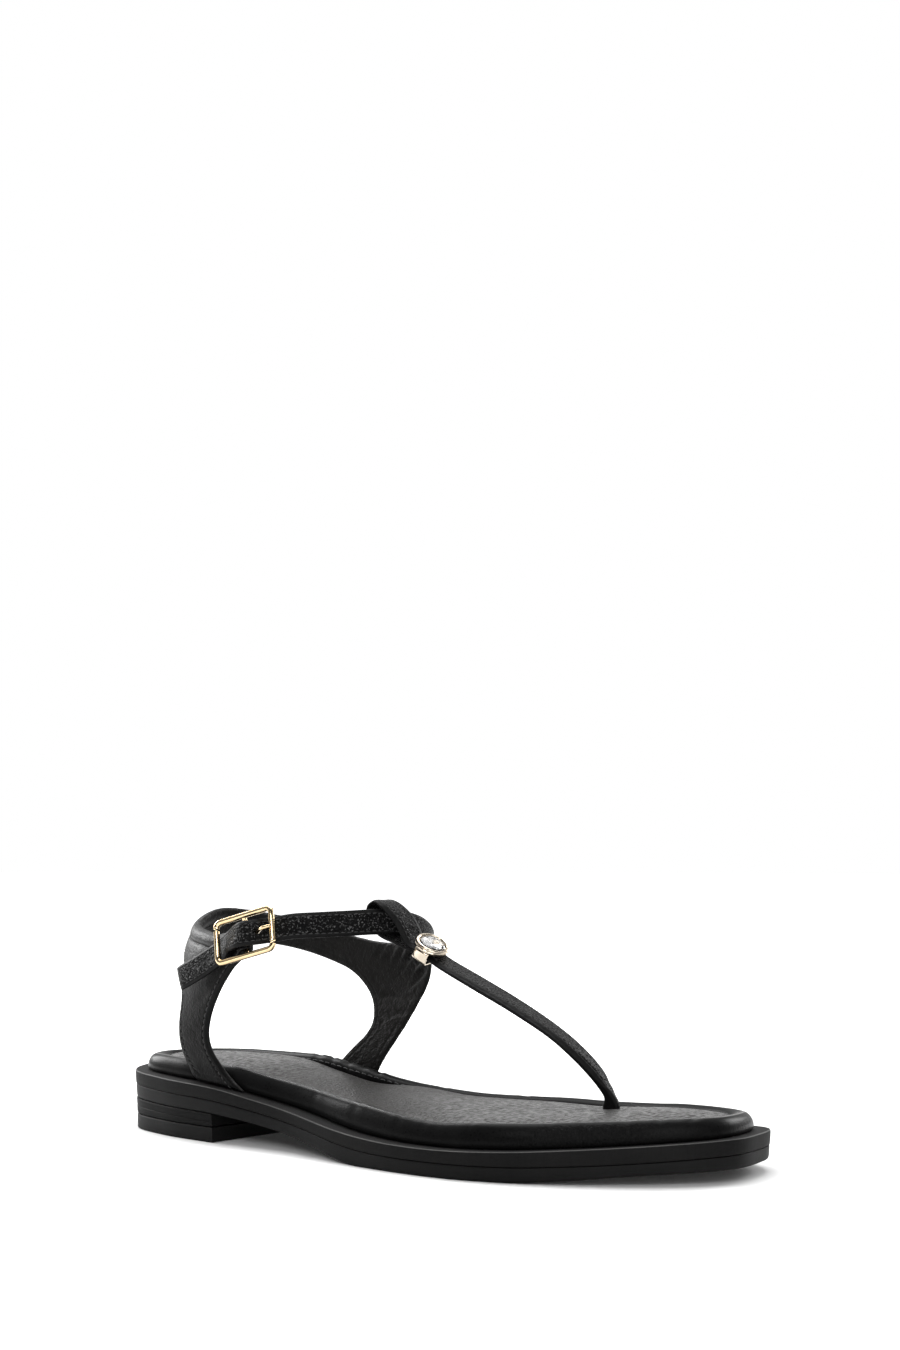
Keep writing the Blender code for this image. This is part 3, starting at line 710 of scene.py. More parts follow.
@dataclass(frozen=True)
class Pattern:
    """A flat pattern filled with triangles, finer along its edge."""

    points: np.ndarray
    faces: Faces
    rim: int
    depth: np.ndarray

    @classmethod
    def cut(cls, outline: np.ndarray, step: float, bands: Sequence[float],
            holes: Sequence[np.ndarray] = ()) -> "Pattern":
        """Cut a pattern.

        Args:
            outline: The closed outline, without a repeated point.
            step: Spacing of the points inside.
            bands: Distances from the edge that get rows of points.
            holes: Closed outlines to leave open.

        Returns:
            The pattern, with each point's distance to the nearest edge.
        """
        loops = [outline, *holes]
        edge = np.vstack([spaced(loop, 0.25, closed=True) for loop in loops])
        extra = []
        for loop in loops:
            along = unit(np.roll(loop, -1, axis=0) - np.roll(loop, 1, axis=0))
            normal = np.column_stack((-along[:, 1], along[:, 0]))
            turn = np.sum(loop[:, 0] * np.roll(loop[:, 1], -1) - loop[:, 1] * np.roll(loop[:, 0], -1))
            inward = normal if (turn > 0) == (loop is outline) else -normal
            for band in bands:
                extra.append((loop + inward * band, band * 0.92))
        low, high = outline.min(axis=0), outline.max(axis=0)
        columns, rows = (np.arange(a + step / 2, b, step) for a, b in zip(low, high))
        grid = np.array([(x, y + step / 2 * (k % 2)) for k, x in enumerate(columns) for y in rows])
        extra.append((grid, max(bands) + step * 0.5))
        inside = []
        for points, least in extra:
            inside.append(points[nearest(points, edge) > least])
        points = np.vstack((*loops, *inside))
        starts = np.cumsum([0] + [len(loop) for loop in loops])
        rings = [list(range(a, b)) for a, b in zip(starts, starts[1:])]
        edges = [(ring[k - 1], ring[k]) for ring in rings for k in range(len(ring))]
        flat, _, faces, *_ = delaunay_2d_cdt([Vector(p) for p in points], edges, rings[:1], 1, 1e-6)
        flat = np.array([p[:] for p in flat])
        for hole in holes:
            faces = [face for face in faces if not cls._inside(flat[list(face)].mean(axis=0), hole)]
        return cls(flat, [tuple(face) for face in faces], int(starts[-1]), nearest(flat, edge))

    @staticmethod
    def _inside(point: np.ndarray, loop: np.ndarray) -> bool:
        """Test a point against a loop.

        Args:
            point: The point.
            loop: The closed loop.

        Returns:
            Whether the point lies inside.
        """
        a, b = loop, np.roll(loop, -1, axis=0)
        cross = (a[:, 1] > point[1]) != (b[:, 1] > point[1])
        with np.errstate(divide="ignore", invalid="ignore"):
            at = a[:, 0] + (point[1] - a[:, 1]) * (b[:, 0] - a[:, 0]) / (b[:, 1] - a[:, 1])
        return bool(np.sum(cross & (at > point[0])) % 2)


@dataclass(frozen=True)
class Stitching:
    """Rows of thread stitches."""

    pitch: float = 2.6
    share: float = 0.7
    thread: float = 0.42
    lift: float = 0.16
    sink: float = 0.06
    tip: float = 0.55
    sides: int = 6
    rings: int = 5

    def build(self, name: str, runs: Sequence[tuple[np.ndarray, np.ndarray]], slot: str) -> bpy.types.Object:
        """Build all the stitches of some runs as one piece.

        Args:
            name: The piece's name.
            runs: For each run, points along it and the outward directions there.
            slot: A material slot's name; not used.

        Returns:
            The new object.
        """
        points: list[np.ndarray] = []
        faces: Faces = []
        spot = np.linspace(0, 1, self.rings)
        for path, out in runs:
            rows = spaced(np.column_stack((path, out)), self.pitch)
            for a, b in zip(rows, rows[1:]):
                along, normal = unit(b[:3] - a[:3]), unit(a[3:6] + b[3:6])
                sideways = np.cross(along, normal)
                start = sum(len(part) for part in points)
                for share in spot:
                    bow = math.sin(math.pi * share)
                    middle = a[:3] + (b[:3] - a[:3]) * self.share * share
                    middle = middle + normal * (self.lift * bow - self.sink)
                    size = self.thread / 2 * (self.tip + (1 - self.tip) * bow)
                    points.append(middle + size * hoop(self.sides, sideways, normal))
                faces += [tuple(start + i for i in face) for face in grid_faces(self.rings, self.sides)]
                faces.append(tuple(range(start + self.sides - 1, start - 1, -1)))
                last = start + (self.rings - 1) * self.sides
                faces.append(tuple(range(last, last + self.sides)))
        return add_piece(name, np.vstack(points), faces, [Finish.THREAD], sharp=60.0)


# The last that the sandal is built on

@dataclass(frozen=True)
class Last:
    """Outline and side profile of the sole, and the ankle wall that the upper wraps."""

    outline: Rows = (
        (0.0, 0.0), (11.4, -21.2), (34.5, -30.8), (62.2, -34.9), (97.5, -36.8), (128.5, -44.3),
        (158.8, -48.6), (185.0, -47.2), (212.1, -37.0), (235.4, -22.0), (250.2, -4.1), (250.2, 10.7),
        (244.6, 29.6), (228.8, 39.9), (203.3, 43.5), (178.0, 43.8), (141.9, 36.4), (105.0, 29.8),
        (65.0, 30.2), (34.9, 30.0), (11.9, 21.6),
    )
    profile: Rows = (
        (0.0, 10.9, 15.7, 20.8), (35.0, 10.0, 14.9, 19.7), (64.6, 9.2, 13.8, 18.3), (85.0, 7.3, 11.5, 15.5),
        (110.0, 3.7, 8.0, 12.0), (138.0, -0.7, 4.5, 8.9), (165.0, -0.7, 3.9, 8.0), (194.0, -0.65, 4.1, 8.8),
        (212.0, 0.7, 5.0, 10.0), (230.0, 2.5, 6.3, 11.4), (250.5, 3.7, 8.1, 13.0),
    )
    toe_ease: tuple[float, float, int] = (222.0, 14.0, 14)
    centre: tuple[float, float] = (68.0, 0.0)
    ankle_ring: Rows = (
        (21.6, 5.0), (25.6, -7.8), (35.6, -17.4), (53.0, -25.6), (72.0, -29.2), (90.0, -24.5),
        (106.0, -12.0), (113.5, 0.0), (117.0, 13.0), (112.0, 25.0), (95.0, 30.5), (72.0, 31.0),
        (48.0, 27.0), (28.0, 18.0),
    )
    foot_ring: Rows = (
        (6.0, 0.0), (14.0, -19.0), (34.0, -26.5), (56.0, -29.3), (80.0, -30.9), (100.0, -31.5),
        (120.0, -28.0), (130.0, 0.0), (120.0, 26.0), (100.0, 25.0), (80.0, 24.9), (60.0, 25.3),
        (34.0, 25.0), (14.0, 18.0),
    )
    foot_level: float = 18.0
    ankle_level: float = 60.0
    lean_level: float = 60.5
    lean_rate: float = 0.035
    lean_spread: float = 0.35
    swells: Rows = ((-48.0, 26.0, 2.1), (137.0, 22.0, 0.9))
    swell_rise: Rows = (
        (18.0, 0.0), (24.0, -0.15), (30.0, 0.3), (36.0, 0.7), (44.0, 0.8), (52.0, 0.95), (58.0, 0.55),
        (64.0, 0.0),
    )

    @cached_property
    def edge(self) -> np.ndarray:
        """The sole's outline at an even spacing, with its inward normals."""
        curve = spaced(spline(self.outline, 40, closed=True), 1.6, closed=True)
        start, run, rounds = self.toe_ease
        curve = eased(curve, 0.5 * np.clip((curve[:, :1] - start) / run, 0, 1), rounds)
        along = unit(np.roll(curve, -1, axis=0) - np.roll(curve, 1, axis=0))
        return np.column_stack((curve, -along[:, 1], along[:, 0]))

    def ring(self, inset: float) -> np.ndarray:
        """Return the outline moved in."""
        return self.edge[:, :2] + self.edge[:, 2:] * inset

    def height(self, line: int, x: np.ndarray) -> np.ndarray:
        """Return a line of the side profile, or the floor for line 0."""
        return np.zeros_like(x) if line == 0 else smooth_value(self.profile, line, x)

    def _radius(self, rows: Rows, degrees: np.ndarray) -> np.ndarray:
        """Read a plan ring's radius.

        Args:
            rows: The ring's points.
            degrees: Angles from the back.

        Returns:
            The radius at each angle.
        """
        curve = spline(rows, 24, closed=True) - np.array(self.centre)
        angle = np.degrees(np.arctan2(curve[:, 1], -curve[:, 0])) % 360
        return np.interp(degrees, angle, np.hypot(curve[:, 0], curve[:, 1]), period=360)

    def wall(self, degrees: np.ndarray, height: np.ndarray) -> np.ndarray:
        """Find points of the ankle wall.

        Args:
            degrees: Angles from the back towards the medial side.
            height: Heights over the floor.

        Returns:
            The points.
        """
        rise = np.clip((height - self.foot_level) / (self.ankle_level - self.foot_level), 0, 1)
        share = (rise + rise * rise * (3 - 2 * rise)) / 2
        foot, ankle = (self._radius(ring, degrees) for ring in (self.foot_ring, self.ankle_ring))
        radius = foot * (1 - share) + ankle * share
        for middle, spread, size in self.swells:
            turn = (degrees - middle + 180) % 360 - 180
            swell = size * smooth_value(self.swell_rise, 1, height)
            radius = radius + swell * np.exp(-(turn / spread) ** 2 / 2)
        back = np.clip(np.cos(np.radians(degrees)) + self.lean_spread, 0, None) / (1 + self.lean_spread)
        radius = radius - back * self.lean_rate * np.clip(height - self.lean_level, 0, None) ** 2
        x = self.centre[0] - radius * np.cos(np.radians(degrees))
        y = self.centre[1] + radius * np.sin(np.radians(degrees))
        return np.column_stack((x, y, height))

    def wall_out(self, degrees: np.ndarray, height: np.ndarray) -> np.ndarray:
        """Find the wall's outward normals.

        Args:
            degrees: Angles from the back towards the medial side.
            height: Heights over the floor.

        Returns:
            The normals.
        """
        around = self.wall(degrees + 0.8, height) - self.wall(degrees - 0.8, height)
        upward = self.wall(degrees, height + 0.6) - self.wall(degrees, height - 0.6)
        return unit(np.cross(upward, around))


LAST = Last()
FLOOR, UNDERSIDE, SEAM, WELT_TOP = range(4)


# Sub-assemblies

@dataclass
class Sole:
    """Outsole, welt, ribbed heel block and heel top piece."""

    breast_x: float = 63.0
    breast_bevel: float = 0.7
    top_piece: float = 4.6
    # Bands of the welt's section whose faces take the painted highlight of its top edge.
    edge_highlight_bands: tuple[int, int] = (7, 8)
    heel_points: int = 150
    breast_points: int = 40

    def sections(self) -> dict[str, tuple[Finish, Rows]]:
        """List the sections of the pieces.

        Returns:
            Each piece's finish and sections: inset, line that the height is from, offset.
        """
        top = self.top_piece
        return {
            "outsole": (Finish.OUTSOLE, (
                (12.0, UNDERSIDE, 0.0), (1.2, UNDERSIDE, 0.0), (0.8, UNDERSIDE, 0.08),
                (0.55, UNDERSIDE, 0.35), (0.42, UNDERSIDE, 0.9), (0.38, UNDERSIDE, 1.6), (0.3, SEAM, -1.3),
                (0.3, SEAM, -0.6), (0.34, SEAM, -0.2), (0.5, SEAM, -0.08), (12.0, SEAM, -0.07))),
            "welt": (Finish.WELT, (
                (12.0, SEAM, 0.07), (0.5, SEAM, 0.08), (0.26, SEAM, 0.2), (0.16, SEAM, 0.5),
                (0.08, SEAM, 1.6), (0.0, WELT_TOP, -1.5), (0.0, WELT_TOP, -0.6), (0.05, WELT_TOP, -0.25),
                (0.2, WELT_TOP, -0.07), (0.45, WELT_TOP, 0.0), (2.2, WELT_TOP, 0.0), (12.0, WELT_TOP, 0.0))),
            "heel_block": (Finish.HEEL, (
                (12.0, FLOOR, top + GAP), (0.75, FLOOR, top + GAP), (0.55, FLOOR, top + 0.45),
                (0.45, FLOOR, top + 0.9), (0.4, UNDERSIDE, -3.2), (0.45, UNDERSIDE, -3.0),
                (0.6, UNDERSIDE, -2.86), (0.6, UNDERSIDE, -2.74), (0.45, UNDERSIDE, -2.6),
                (0.38, UNDERSIDE, -2.4), (0.3, UNDERSIDE, -0.9), (0.34, UNDERSIDE, -0.35),
                (0.5, UNDERSIDE, -0.14), (12.0, UNDERSIDE, -0.14))),
            "heel_top_piece": (Finish.OUTSOLE, (
                (12.0, FLOOR, -LIFT), (1.0, FLOOR, -LIFT), (0.7, FLOOR, 0.1 - LIFT),
                (0.52, FLOOR, 0.45 - LIFT), (0.5, FLOOR, 2.0), (0.5, FLOOR, top - 0.5),
                (0.6, FLOOR, top - 0.15), (0.85, FLOOR, top), (12.0, FLOOR, top))),
        }

    def _heel_ring(self, inset: float, last_x: float) -> np.ndarray:
        """Draw the heel's outline.

        Args:
            inset: How far it is moved in.
            last_x: Where its breast is.

        Returns:
            The outline, closed by its straight breast.
        """
        plan = LAST.ring(inset)
        plan = np.roll(plan, -int(np.argmax(plan[:, 0])), axis=0)
        back = plan[plan[:, 0] < last_x]
        medial = np.array((last_x, np.interp(last_x, *plan[plan[:, 1] > 0][::-1].T)))
        order = np.argsort(plan[plan[:, 1] < 0][:, 0])
        lateral = np.array((last_x, np.interp(last_x, *plan[plan[:, 1] < 0][order].T)))
        arc = spaced(np.vstack((medial, back, lateral)), 1.4)
        run = np.linspace(0, len(arc) - 1, self.heel_points)
        arc = np.column_stack([np.interp(run, np.arange(len(arc)), column) for column in arc.T])
        across = np.linspace(arc[-1], arc[0], self.breast_points + 2)[1:-1]
        return np.vstack((arc, across))

    def build(self) -> None:
        """Build the four pieces."""
        for name, (finish, rows) in self.sections().items():
            points, heel = [], name.startswith("heel")
            for place, (inset, line, offset) in enumerate(rows):
                if heel:
                    bevelled = place < 2 or place > len(rows) - 3
                    plan = self._heel_ring(inset, self.breast_x - (self.breast_bevel if bevelled else 0.0))
                else:
                    plan = LAST.ring(inset)
                points.append(np.column_stack((plan, LAST.height(line, plan[:, 0]) + offset)))
            count = len(points[0])
            faces = grid_faces(len(points), count)
            hubs = [ring.mean(axis=0) for ring in (points[0], points[-1])]
            total = len(points) * count
            if heel:
                faces += fan(0, count, total) + fan(total - count, count, total + 1)
                points += [hub[None] for hub in hubs]
            else:
                faces += self._floor_faces(points[0], 0) + self._floor_faces(points[-1], total - count)
            slot, finishes, bands = "sole_rubber", [finish], ()
            # The welt's top-edge bands take the lighter edge finish, a painted highlight.
            if name == "welt":
                slot, finishes, bands = "welt_rubber", [finish, Finish.WELT_EDGE_HIGHLIGHT], self.edge_highlight_bands
            indices = [int(k // count in bands) for k in range(len(faces))]
            add_piece(f"{name}_body", np.vstack(points), faces, finishes, [name], indices, sharp=50.0)

    @staticmethod
    def _floor_faces(ring: np.ndarray, first: int) -> Faces:
        """Fill a ring in plan.

        Args:
            ring: The ring's points.
            first: The index of its first point.

        Returns:
            The triangles.
        """
        points = [Vector(point[:2]) for point in ring]
        _, _, faces, *_ = delaunay_2d_cdt(points, [], [list(range(len(points)))], 1, 1e-9)
        return [tuple(first + i for i in face) for face in faces]


@dataclass
class Footbed:
    """Padded footbed: a rolled rim, a stitched seam and the sock inside it."""

    rim: Rows = (
        (6.7, 0.08), (6.35, 0.4), (6.2, 1.0), (6.15, 1.8), (6.25, 2.8), (6.5, 3.8), (6.9, 4.8), (7.45, 5.7),
        (8.1, 6.35), (8.8, 6.8), (9.5, 6.97), (10.3, 6.9), (11.1, 6.6), (11.9, 6.1), (12.5, 5.5), (12.9, 4.9),
        (13.1, 4.2), (13.1, 3.0), (12.6, 0.3),
    )
    form: Rows = (
        (0.0, 0.66, 1.9, 0.0), (20.0, 0.86, 1.3, -0.003), (40.0, 0.95, 0.4, -0.0015),
        (55.0, 1.0, -0.2, 0.001), (70.0, 1.08, -0.4, 0.0018), (85.0, 1.062, -0.4, 0.0004),
        (105.0, 1.043, -0.4, -0.0033), (130.0, 1.108, 0.4, -0.0045), (150.0, 1.147, 0.7, -0.0005),
        (165.0, 1.124, 0.7, 0.0019), (185.0, 1.109, 0.7, -0.0009), (205.0, 1.107, 0.7, -0.0009),
        (224.0, 1.018, 1.1, -0.0026), (236.0, 0.962, 1.3, -0.0037), (250.0, 0.85, 1.7, -0.001),
    )
    toe_ease: tuple[float, float, int] = (222.0, 12.0, 5)
    seam_inset: float = 13.3
    stitch_inset: float = 13.45
    stitch_rise: float = 5.5
    sock: Rows = (
        (0.0, 4.9, 4.9), (0.7, 5.3, 5.8), (1.6, 5.55, 6.3), (3.0, 5.8, 6.5), (5.0, 6.15, 6.6),
        (9.0, 6.7, 6.65), (14.0, 7.0, 6.75), (20.0, 7.15, 6.9), (40.0, 7.2, 7.2),
    )
    sock_under: float = 0.6
    medial_share: tuple[float, float, float] = (24.0, 190.0, 30.0)
    slot: tuple[float, float, float, float] = (196.6, 12.0, 8.2, 3.2)
    slot_square: float = 0.6
    pucker: Rows = ((0.0, 3.2, -0.7), (6.0, 2.4, 0.3))
    dip: tuple[float, ...] = (76.0, 15.0, 0.0, 20.0, 2.0)
    waves: Rows = (
        (86.0, 22.0, 132.0, -22.0, 9.0, -1.9), (106.0, 30.0, 152.0, -14.0, 9.0, 0.5),
        (222.0, -30.0, 222.0, 30.0, 16.0, 0.5),
    )
    creases: Rows = (
        (64.0, 1, 2.6, 0.5), (71.0, 1, 2.2, 0.6), (78.5, 1, 2.4, 0.75), (85.5, 1, 2.2, 0.65),
        (93.0, 1, 2.8, 0.5), (108.0, -1, 3.0, 0.18), (131.0, -1, 3.4, 0.2), (152.0, -1, 2.2, 0.22),
        (163.0, -1, 1.8, 0.2), (180.0, -1, 2.0, 0.2), (204.0, -1, 1.8, 0.16), (214.0, -1, 1.8, 0.16),
        (224.0, -1, 2.2, 0.2), (232.0, -1, 1.8, 0.3), (239.0, -1, 1.6, 0.3), (120.0, 1, 3.0, 0.2),
        (150.0, 1, 3.0, 0.22),
    )

    def ring(self, inset: np.ndarray | float) -> np.ndarray:
        """Draw a ring of the footbed.

        Args:
            inset: How far it lies in from the sole's outline.

        Returns:
            The outline moved in, and out again by the footbed's reach.
        """
        start, run, rounds_per_mm = self.toe_ease
        rounds = int(rounds_per_mm * np.mean(inset))
        inset = inset - smooth_value(self.form, 2, LAST.edge[:, 0])
        plan = LAST.edge[:, :2] + LAST.edge[:, 2:] * inset[:, None]
        return eased(plan, 0.5 * np.clip((LAST.edge[:, :1] - start) / run, 0, 1), rounds)

    def rise(self, plan: np.ndarray, height: np.ndarray | float) -> np.ndarray:
        """Lift points of the plan over the welt.

        Args:
            plan: The points.
            height: Their height in the footbed's section.

        Returns:
            Their heights.
        """
        x, y = plan[:, 0], plan[:, 1]
        share = smooth_value(self.form, 1, x) + smooth_value(self.form, 3, x) * y
        return LAST.height(WELT_TOP, x) + GAP + (height - GAP) * share

    def build(self) -> None:
        """Build the rim, the sock and the seam's stitches."""
        self._build_rim()
        self._build_sock()
        plan = self.ring(self.stitch_inset)
        ahead = np.column_stack((LAST.edge[:, 3], -LAST.edge[:, 2]))
        plan = plan[((np.roll(plan, -1, axis=0) - np.roll(plan, 1, axis=0)) * ahead).sum(axis=1) > 0.4]
        path = np.column_stack((plan, self.rise(plan, self.stitch_rise)))
        path = np.vstack((path, path[:1]))
        out = np.tile((0.0, 0.0, 1.0), (len(path), 1))
        Stitching(pitch=3.0, thread=0.46).build("footbed_stitches", [(path, out)], "footbed_leather")

    def _build_rim(self) -> None:
        """Build the padded roll round the footbed, with the creases of its leather."""
        rings = []
        section = np.array(self.rim)
        middle = section.mean(axis=0)
        for inset, height in section:
            plan = self.ring(inset)
            swell = unit(np.array((inset, height)) - middle)
            push = self._push(plan, max(0.0, swell[1]) * 0.7 + 0.4 * abs(swell[0]), inset)
            plan = self.ring(inset + swell[0] * push)
            rings.append(np.column_stack((plan, self.rise(plan, height) + swell[1] * push)))
        count = len(rings[0])
        faces = grid_faces(len(rings), count, wrap_rows=True)
        # The band just under the crest takes the crest finish, a painted highlight: a thin line lighter than
        # the rim.
        crest = int(np.argmax(section[:, 1]))
        indices = [int(k // count == crest - 1) for k in range(len(faces))]
        rim = add_piece("footbed_rim", np.vstack(rings), faces, [Finish.RIM, Finish.CREST_HIGHLIGHT],
                        ["footbed"], indices, sharp=70)

    def _push(self, plan: np.ndarray, weight: float, inset: float) -> np.ndarray:
        """Crease the rim's leather by listed creases and a slow wave.

        Args:
            plan: Points of a ring.
            weight: How much the ring takes part.
            inset: Where the ring lies in the section.

        Returns:
            How far the leather stands out.
        """
        push = np.zeros(len(plan))
        for x, side, wide, deep in self.creases:
            near = np.where(np.sign(plan[:, 1]) == side, plan[:, 0] - x - 0.35 * (inset - 9.0), 99.0)
            push -= deep * np.exp(-(near / (wide * 0.45)) ** 2)
            push += 0.45 * deep * np.exp(-((np.abs(near) - wide * 0.8) / (wide * 0.5)) ** 2)
        wave = [noise.noise(Vector((x * 0.06, y * 0.06, inset * 0.05))) for x, y in plan]
        return weight * (push + 0.18 * np.array(wave))

    def _waves(self, plan: np.ndarray) -> np.ndarray:
        """Lay soft troughs and ridges along lines of the plan.

        Args:
            plan: Points of the sock.

        Returns:
            Their rise.
        """
        level = np.zeros(len(plan))
        for x0, y0, x1, y1, wide, high in self.waves:
            run = np.array((x1 - x0, y1 - y0))
            away = ((plan - np.array((x0, y0))) @ np.array((run[1], -run[0]))) / np.linalg.norm(run)
            level += high * np.exp(-(away / wide) ** 2)
        return level

    def _level(self, plan: np.ndarray, outline: np.ndarray) -> np.ndarray:
        """Shape the sock by the distance to its seam and its soft forms.

        Args:
            plan: Points of the sock.
            outline: Its seam.

        Returns:
            Their level in the section.
        """
        edge = nearest(plan, outline)
        far, lateral, medial = np.array(self.sock).T
        wide, front, fade = self.medial_share
        share = np.clip(plan[:, 1] / wide + 0.5, 0, 1) * np.clip((front - plan[:, 0]) / fade, 0, 1)
        level = (1 - share) * np.interp(edge, far, lateral) + share * np.interp(edge, far, medial)
        away = np.hypot((plan[:, 0] - self.slot[0]) / 1.5, plan[:, 1] - self.slot[1])
        for middle, spread, high in self.pucker:
            level = level + high * np.exp(-((away - middle) / spread) ** 2)
        middle, spread, start, run, deep = self.dip
        across = np.clip((plan[:, 1] - start) / run, 0, 1)
        level = level - deep * np.exp(-((plan[:, 0] - middle) / spread) ** 2) * across
        level = level + self._waves(plan)
        return level + np.array([0.16 * noise.noise(Vector((a * 0.05, b * 0.07, 3.0))) for a, b in plan])

    def _build_sock(self) -> None:
        """Build the flat inner sole inside the rim, with the slot of the toe post."""
        outline = spaced(self.ring(self.seam_inset), 1.8, closed=True)
        x, y, length, width = self.slot
        square = hoop(28, np.array((1.0, 0.0)), np.array((0.0, 1.0)))
        square = np.sign(square) * np.abs(square) ** self.slot_square
        hole = np.array((x, y)) + square * np.array((length, width)) / 2
        sheet = Pattern.cut(outline, 2.6, (0.7, 1.6, 3.0), [hole])
        plan = sheet.points
        top = np.column_stack((plan, self.rise(plan, self._level(plan, outline))))
        bottom = np.column_stack((plan, self.rise(plan, self.sock_under)))
        count = len(plan)
        faces = list(sheet.faces) + [tuple(count + i for i in face[::-1]) for face in sheet.faces]
        for first, last in ((0, len(outline)), (len(outline), sheet.rim)):
            ring = list(range(first, last))
            faces += [(ring[k - 1], ring[k], count + ring[k], count + ring[k - 1]) for k in range(len(ring))]
        sock = add_piece("footbed_sock", np.vstack((top, bottom)), faces, [Finish.SOCK],
                         sharp=60)


@dataclass
class Quarter:
    """Heel quarter: leather outside, lining inside, padded topline and stitched borders."""

    half: float = 1.0
    mm_per_degree: float = 0.72
    lateral_foot: tuple[float, float] = (-103.0, -61.0)
    medial_foot: tuple[float, float] = (87.0, 125.0)
    window: Rows = (
        (-53.5, 22.2), (-46.0, 29.0), (-40.8, 39.0), (-37.0, 48.5), (-28.0, 56.5), (-13.0, 62.8),
        (6.0, 65.8), (26.0, 66.2), (48.0, 64.3), (77.0, 59.8), (97.0, 55.4), (112.0, 47.7),
        (117.2, 39.5), (114.2, 33.8), (104.5, 28.5), (92.0, 22.5),
    )
    medial_front: Rows = ((132.5, 28.0), (138.5, 38.5), (145.5, 52.0), (149.0, 59.5))
    top: Rows = (
        (149.0, 68.6), (139.0, 67.0), (127.0, 66.7), (112.0, 67.2), (90.0, 69.6), (60.0, 73.6),
        (32.0, 76.8), (16.0, 78.3), (4.0, 78.4), (-8.0, 76.4), (-20.0, 73.8), (-36.0, 72.2), (-52.0, 71.4),
        (-70.0, 70.6), (-88.0, 72.0), (-103.0, 74.2),
    )
    lateral_front: Rows = (
        (-105.0, 64.6), (-98.0, 61.8), (-90.5, 58.6), (-80.8, 52.2), (-71.4, 43.6), (-69.2, 36.0),
        (-73.2, 29.8), (-86.0, 23.4),
    )
    edge_round: float = 0.9
    roll: float = 4.4
    roll_lift: float = 0.75
    roll_end: tuple[float, float] = (58.0, 84.0)
    roll_groove: float = 0.45
    border: float = 2.6
    border_groove: float = 0.28
    border_fall: float = 0.4
    bands: Sequence[float] = (
        0.14, 0.4, 0.8, 1.25, 1.8, 2.3, 2.6, 2.9, 3.4, 4.2, 4.55, 4.8, 5.05, 5.5,
    )
    lining_creases: Rows = (
        (140.0, 66.0, 128.0, 54.0, 0.9, 0.85), (146.0, 64.5, 131.0, 51.5, 0.8, 0.8),
        (134.0, 66.5, 124.5, 56.0, 0.9, 0.7), (148.5, 60.0, 134.0, 49.0, 0.9, 0.75),
        (127.0, 65.5, 118.0, 57.0, 0.9, 0.55), (117.5, 48.6, 143.0, 47.2, 0.8, 0.85),
        (122.0, 40.5, 138.0, 42.0, 0.9, 0.5), (120.0, 65.5, 111.0, 59.0, 0.9, 0.45),
        (143.0, 58.0, 128.0, 47.5, 0.7, 0.45),
    )
    outer_creases: Rows = (
        (-68.0, 60.0, -50.0, 55.0, 1.3, 0.25), (-74.0, 52.0, -55.0, 46.0, 1.3, 0.22),
        (-66.0, 38.0, -54.0, 36.0, 1.2, 0.22), (-20.0, 70.0, 20.0, 72.0, 1.4, 0.2),
    )

    def _foot(self, span: tuple[float, float]) -> np.ndarray:
        """Draw the lower edge of a leg.

        Args:
            span: Its first and last angle.

        Returns:
            Angles and heights just over the welt.
        """
        degrees = np.linspace(span[0], span[1], 14)
        x = LAST.wall(degrees, np.full_like(degrees, LAST.foot_level))[:, 0]
        return np.column_stack((degrees, LAST.height(WELT_TOP, x) + GAP))

    @cached_property
    def edges(self) -> dict[str, np.ndarray]:
        """The quarter's edges on the flat pattern, in millimetres."""
        lateral, medial = self._foot(self.lateral_foot), self._foot(self.medial_foot)
        parts = {
            "lateral_foot": lateral,
            "window": spline(np.vstack((lateral[-1:], self.window, medial[:1])), 10),
            "medial_foot": medial,
            "medial_front": spline(np.vstack((medial[-1:], self.medial_front)), 10),
            "top": spline(self.top, 10),
            "lateral_front": spline(np.vstack((self.lateral_front, lateral[:1])), 10),
        }
        return {name: rows * np.array((self.mm_per_degree, 1.0)) for name, rows in parts.items()}

    def surface(self, flat: np.ndarray) -> tuple[np.ndarray, np.ndarray]:
        """Return wall points and outward normals for points of the flat pattern."""
        degrees, height = flat[:, 0] / self.mm_per_degree, flat[:, 1]
        return LAST.wall(degrees, height), LAST.wall_out(degrees, height)

    def _trough(self, flat: np.ndarray, creases: Rows) -> np.ndarray:
        """Lay creases along short lines of the pattern.

        Args:
            flat: Points of the pattern.
            creases: Both ends, width and depth of each crease.

        Returns:
            The depth at each point.
        """
        depth = np.zeros(len(flat))
        for d0, h0, d1, h1, wide, deep in creases:
            a, b = (np.array((d * self.mm_per_degree, h)) for d, h in ((d0, h0), (d1, h1)))
            run = b - a
            t = np.clip((flat - a) @ run / (run @ run), 0, 1)
            away = np.linalg.norm(flat - a - t[:, None] * run, axis=1)
            fade = np.sin(math.pi * np.clip(t * 0.9 + 0.05, 0, 1))
            ridge = 0.5 * np.exp(-((away - 2 * wide) / wide) ** 2)
            depth += deep * fade * (np.exp(-(away / wide) ** 2) - ridge)
        return depth

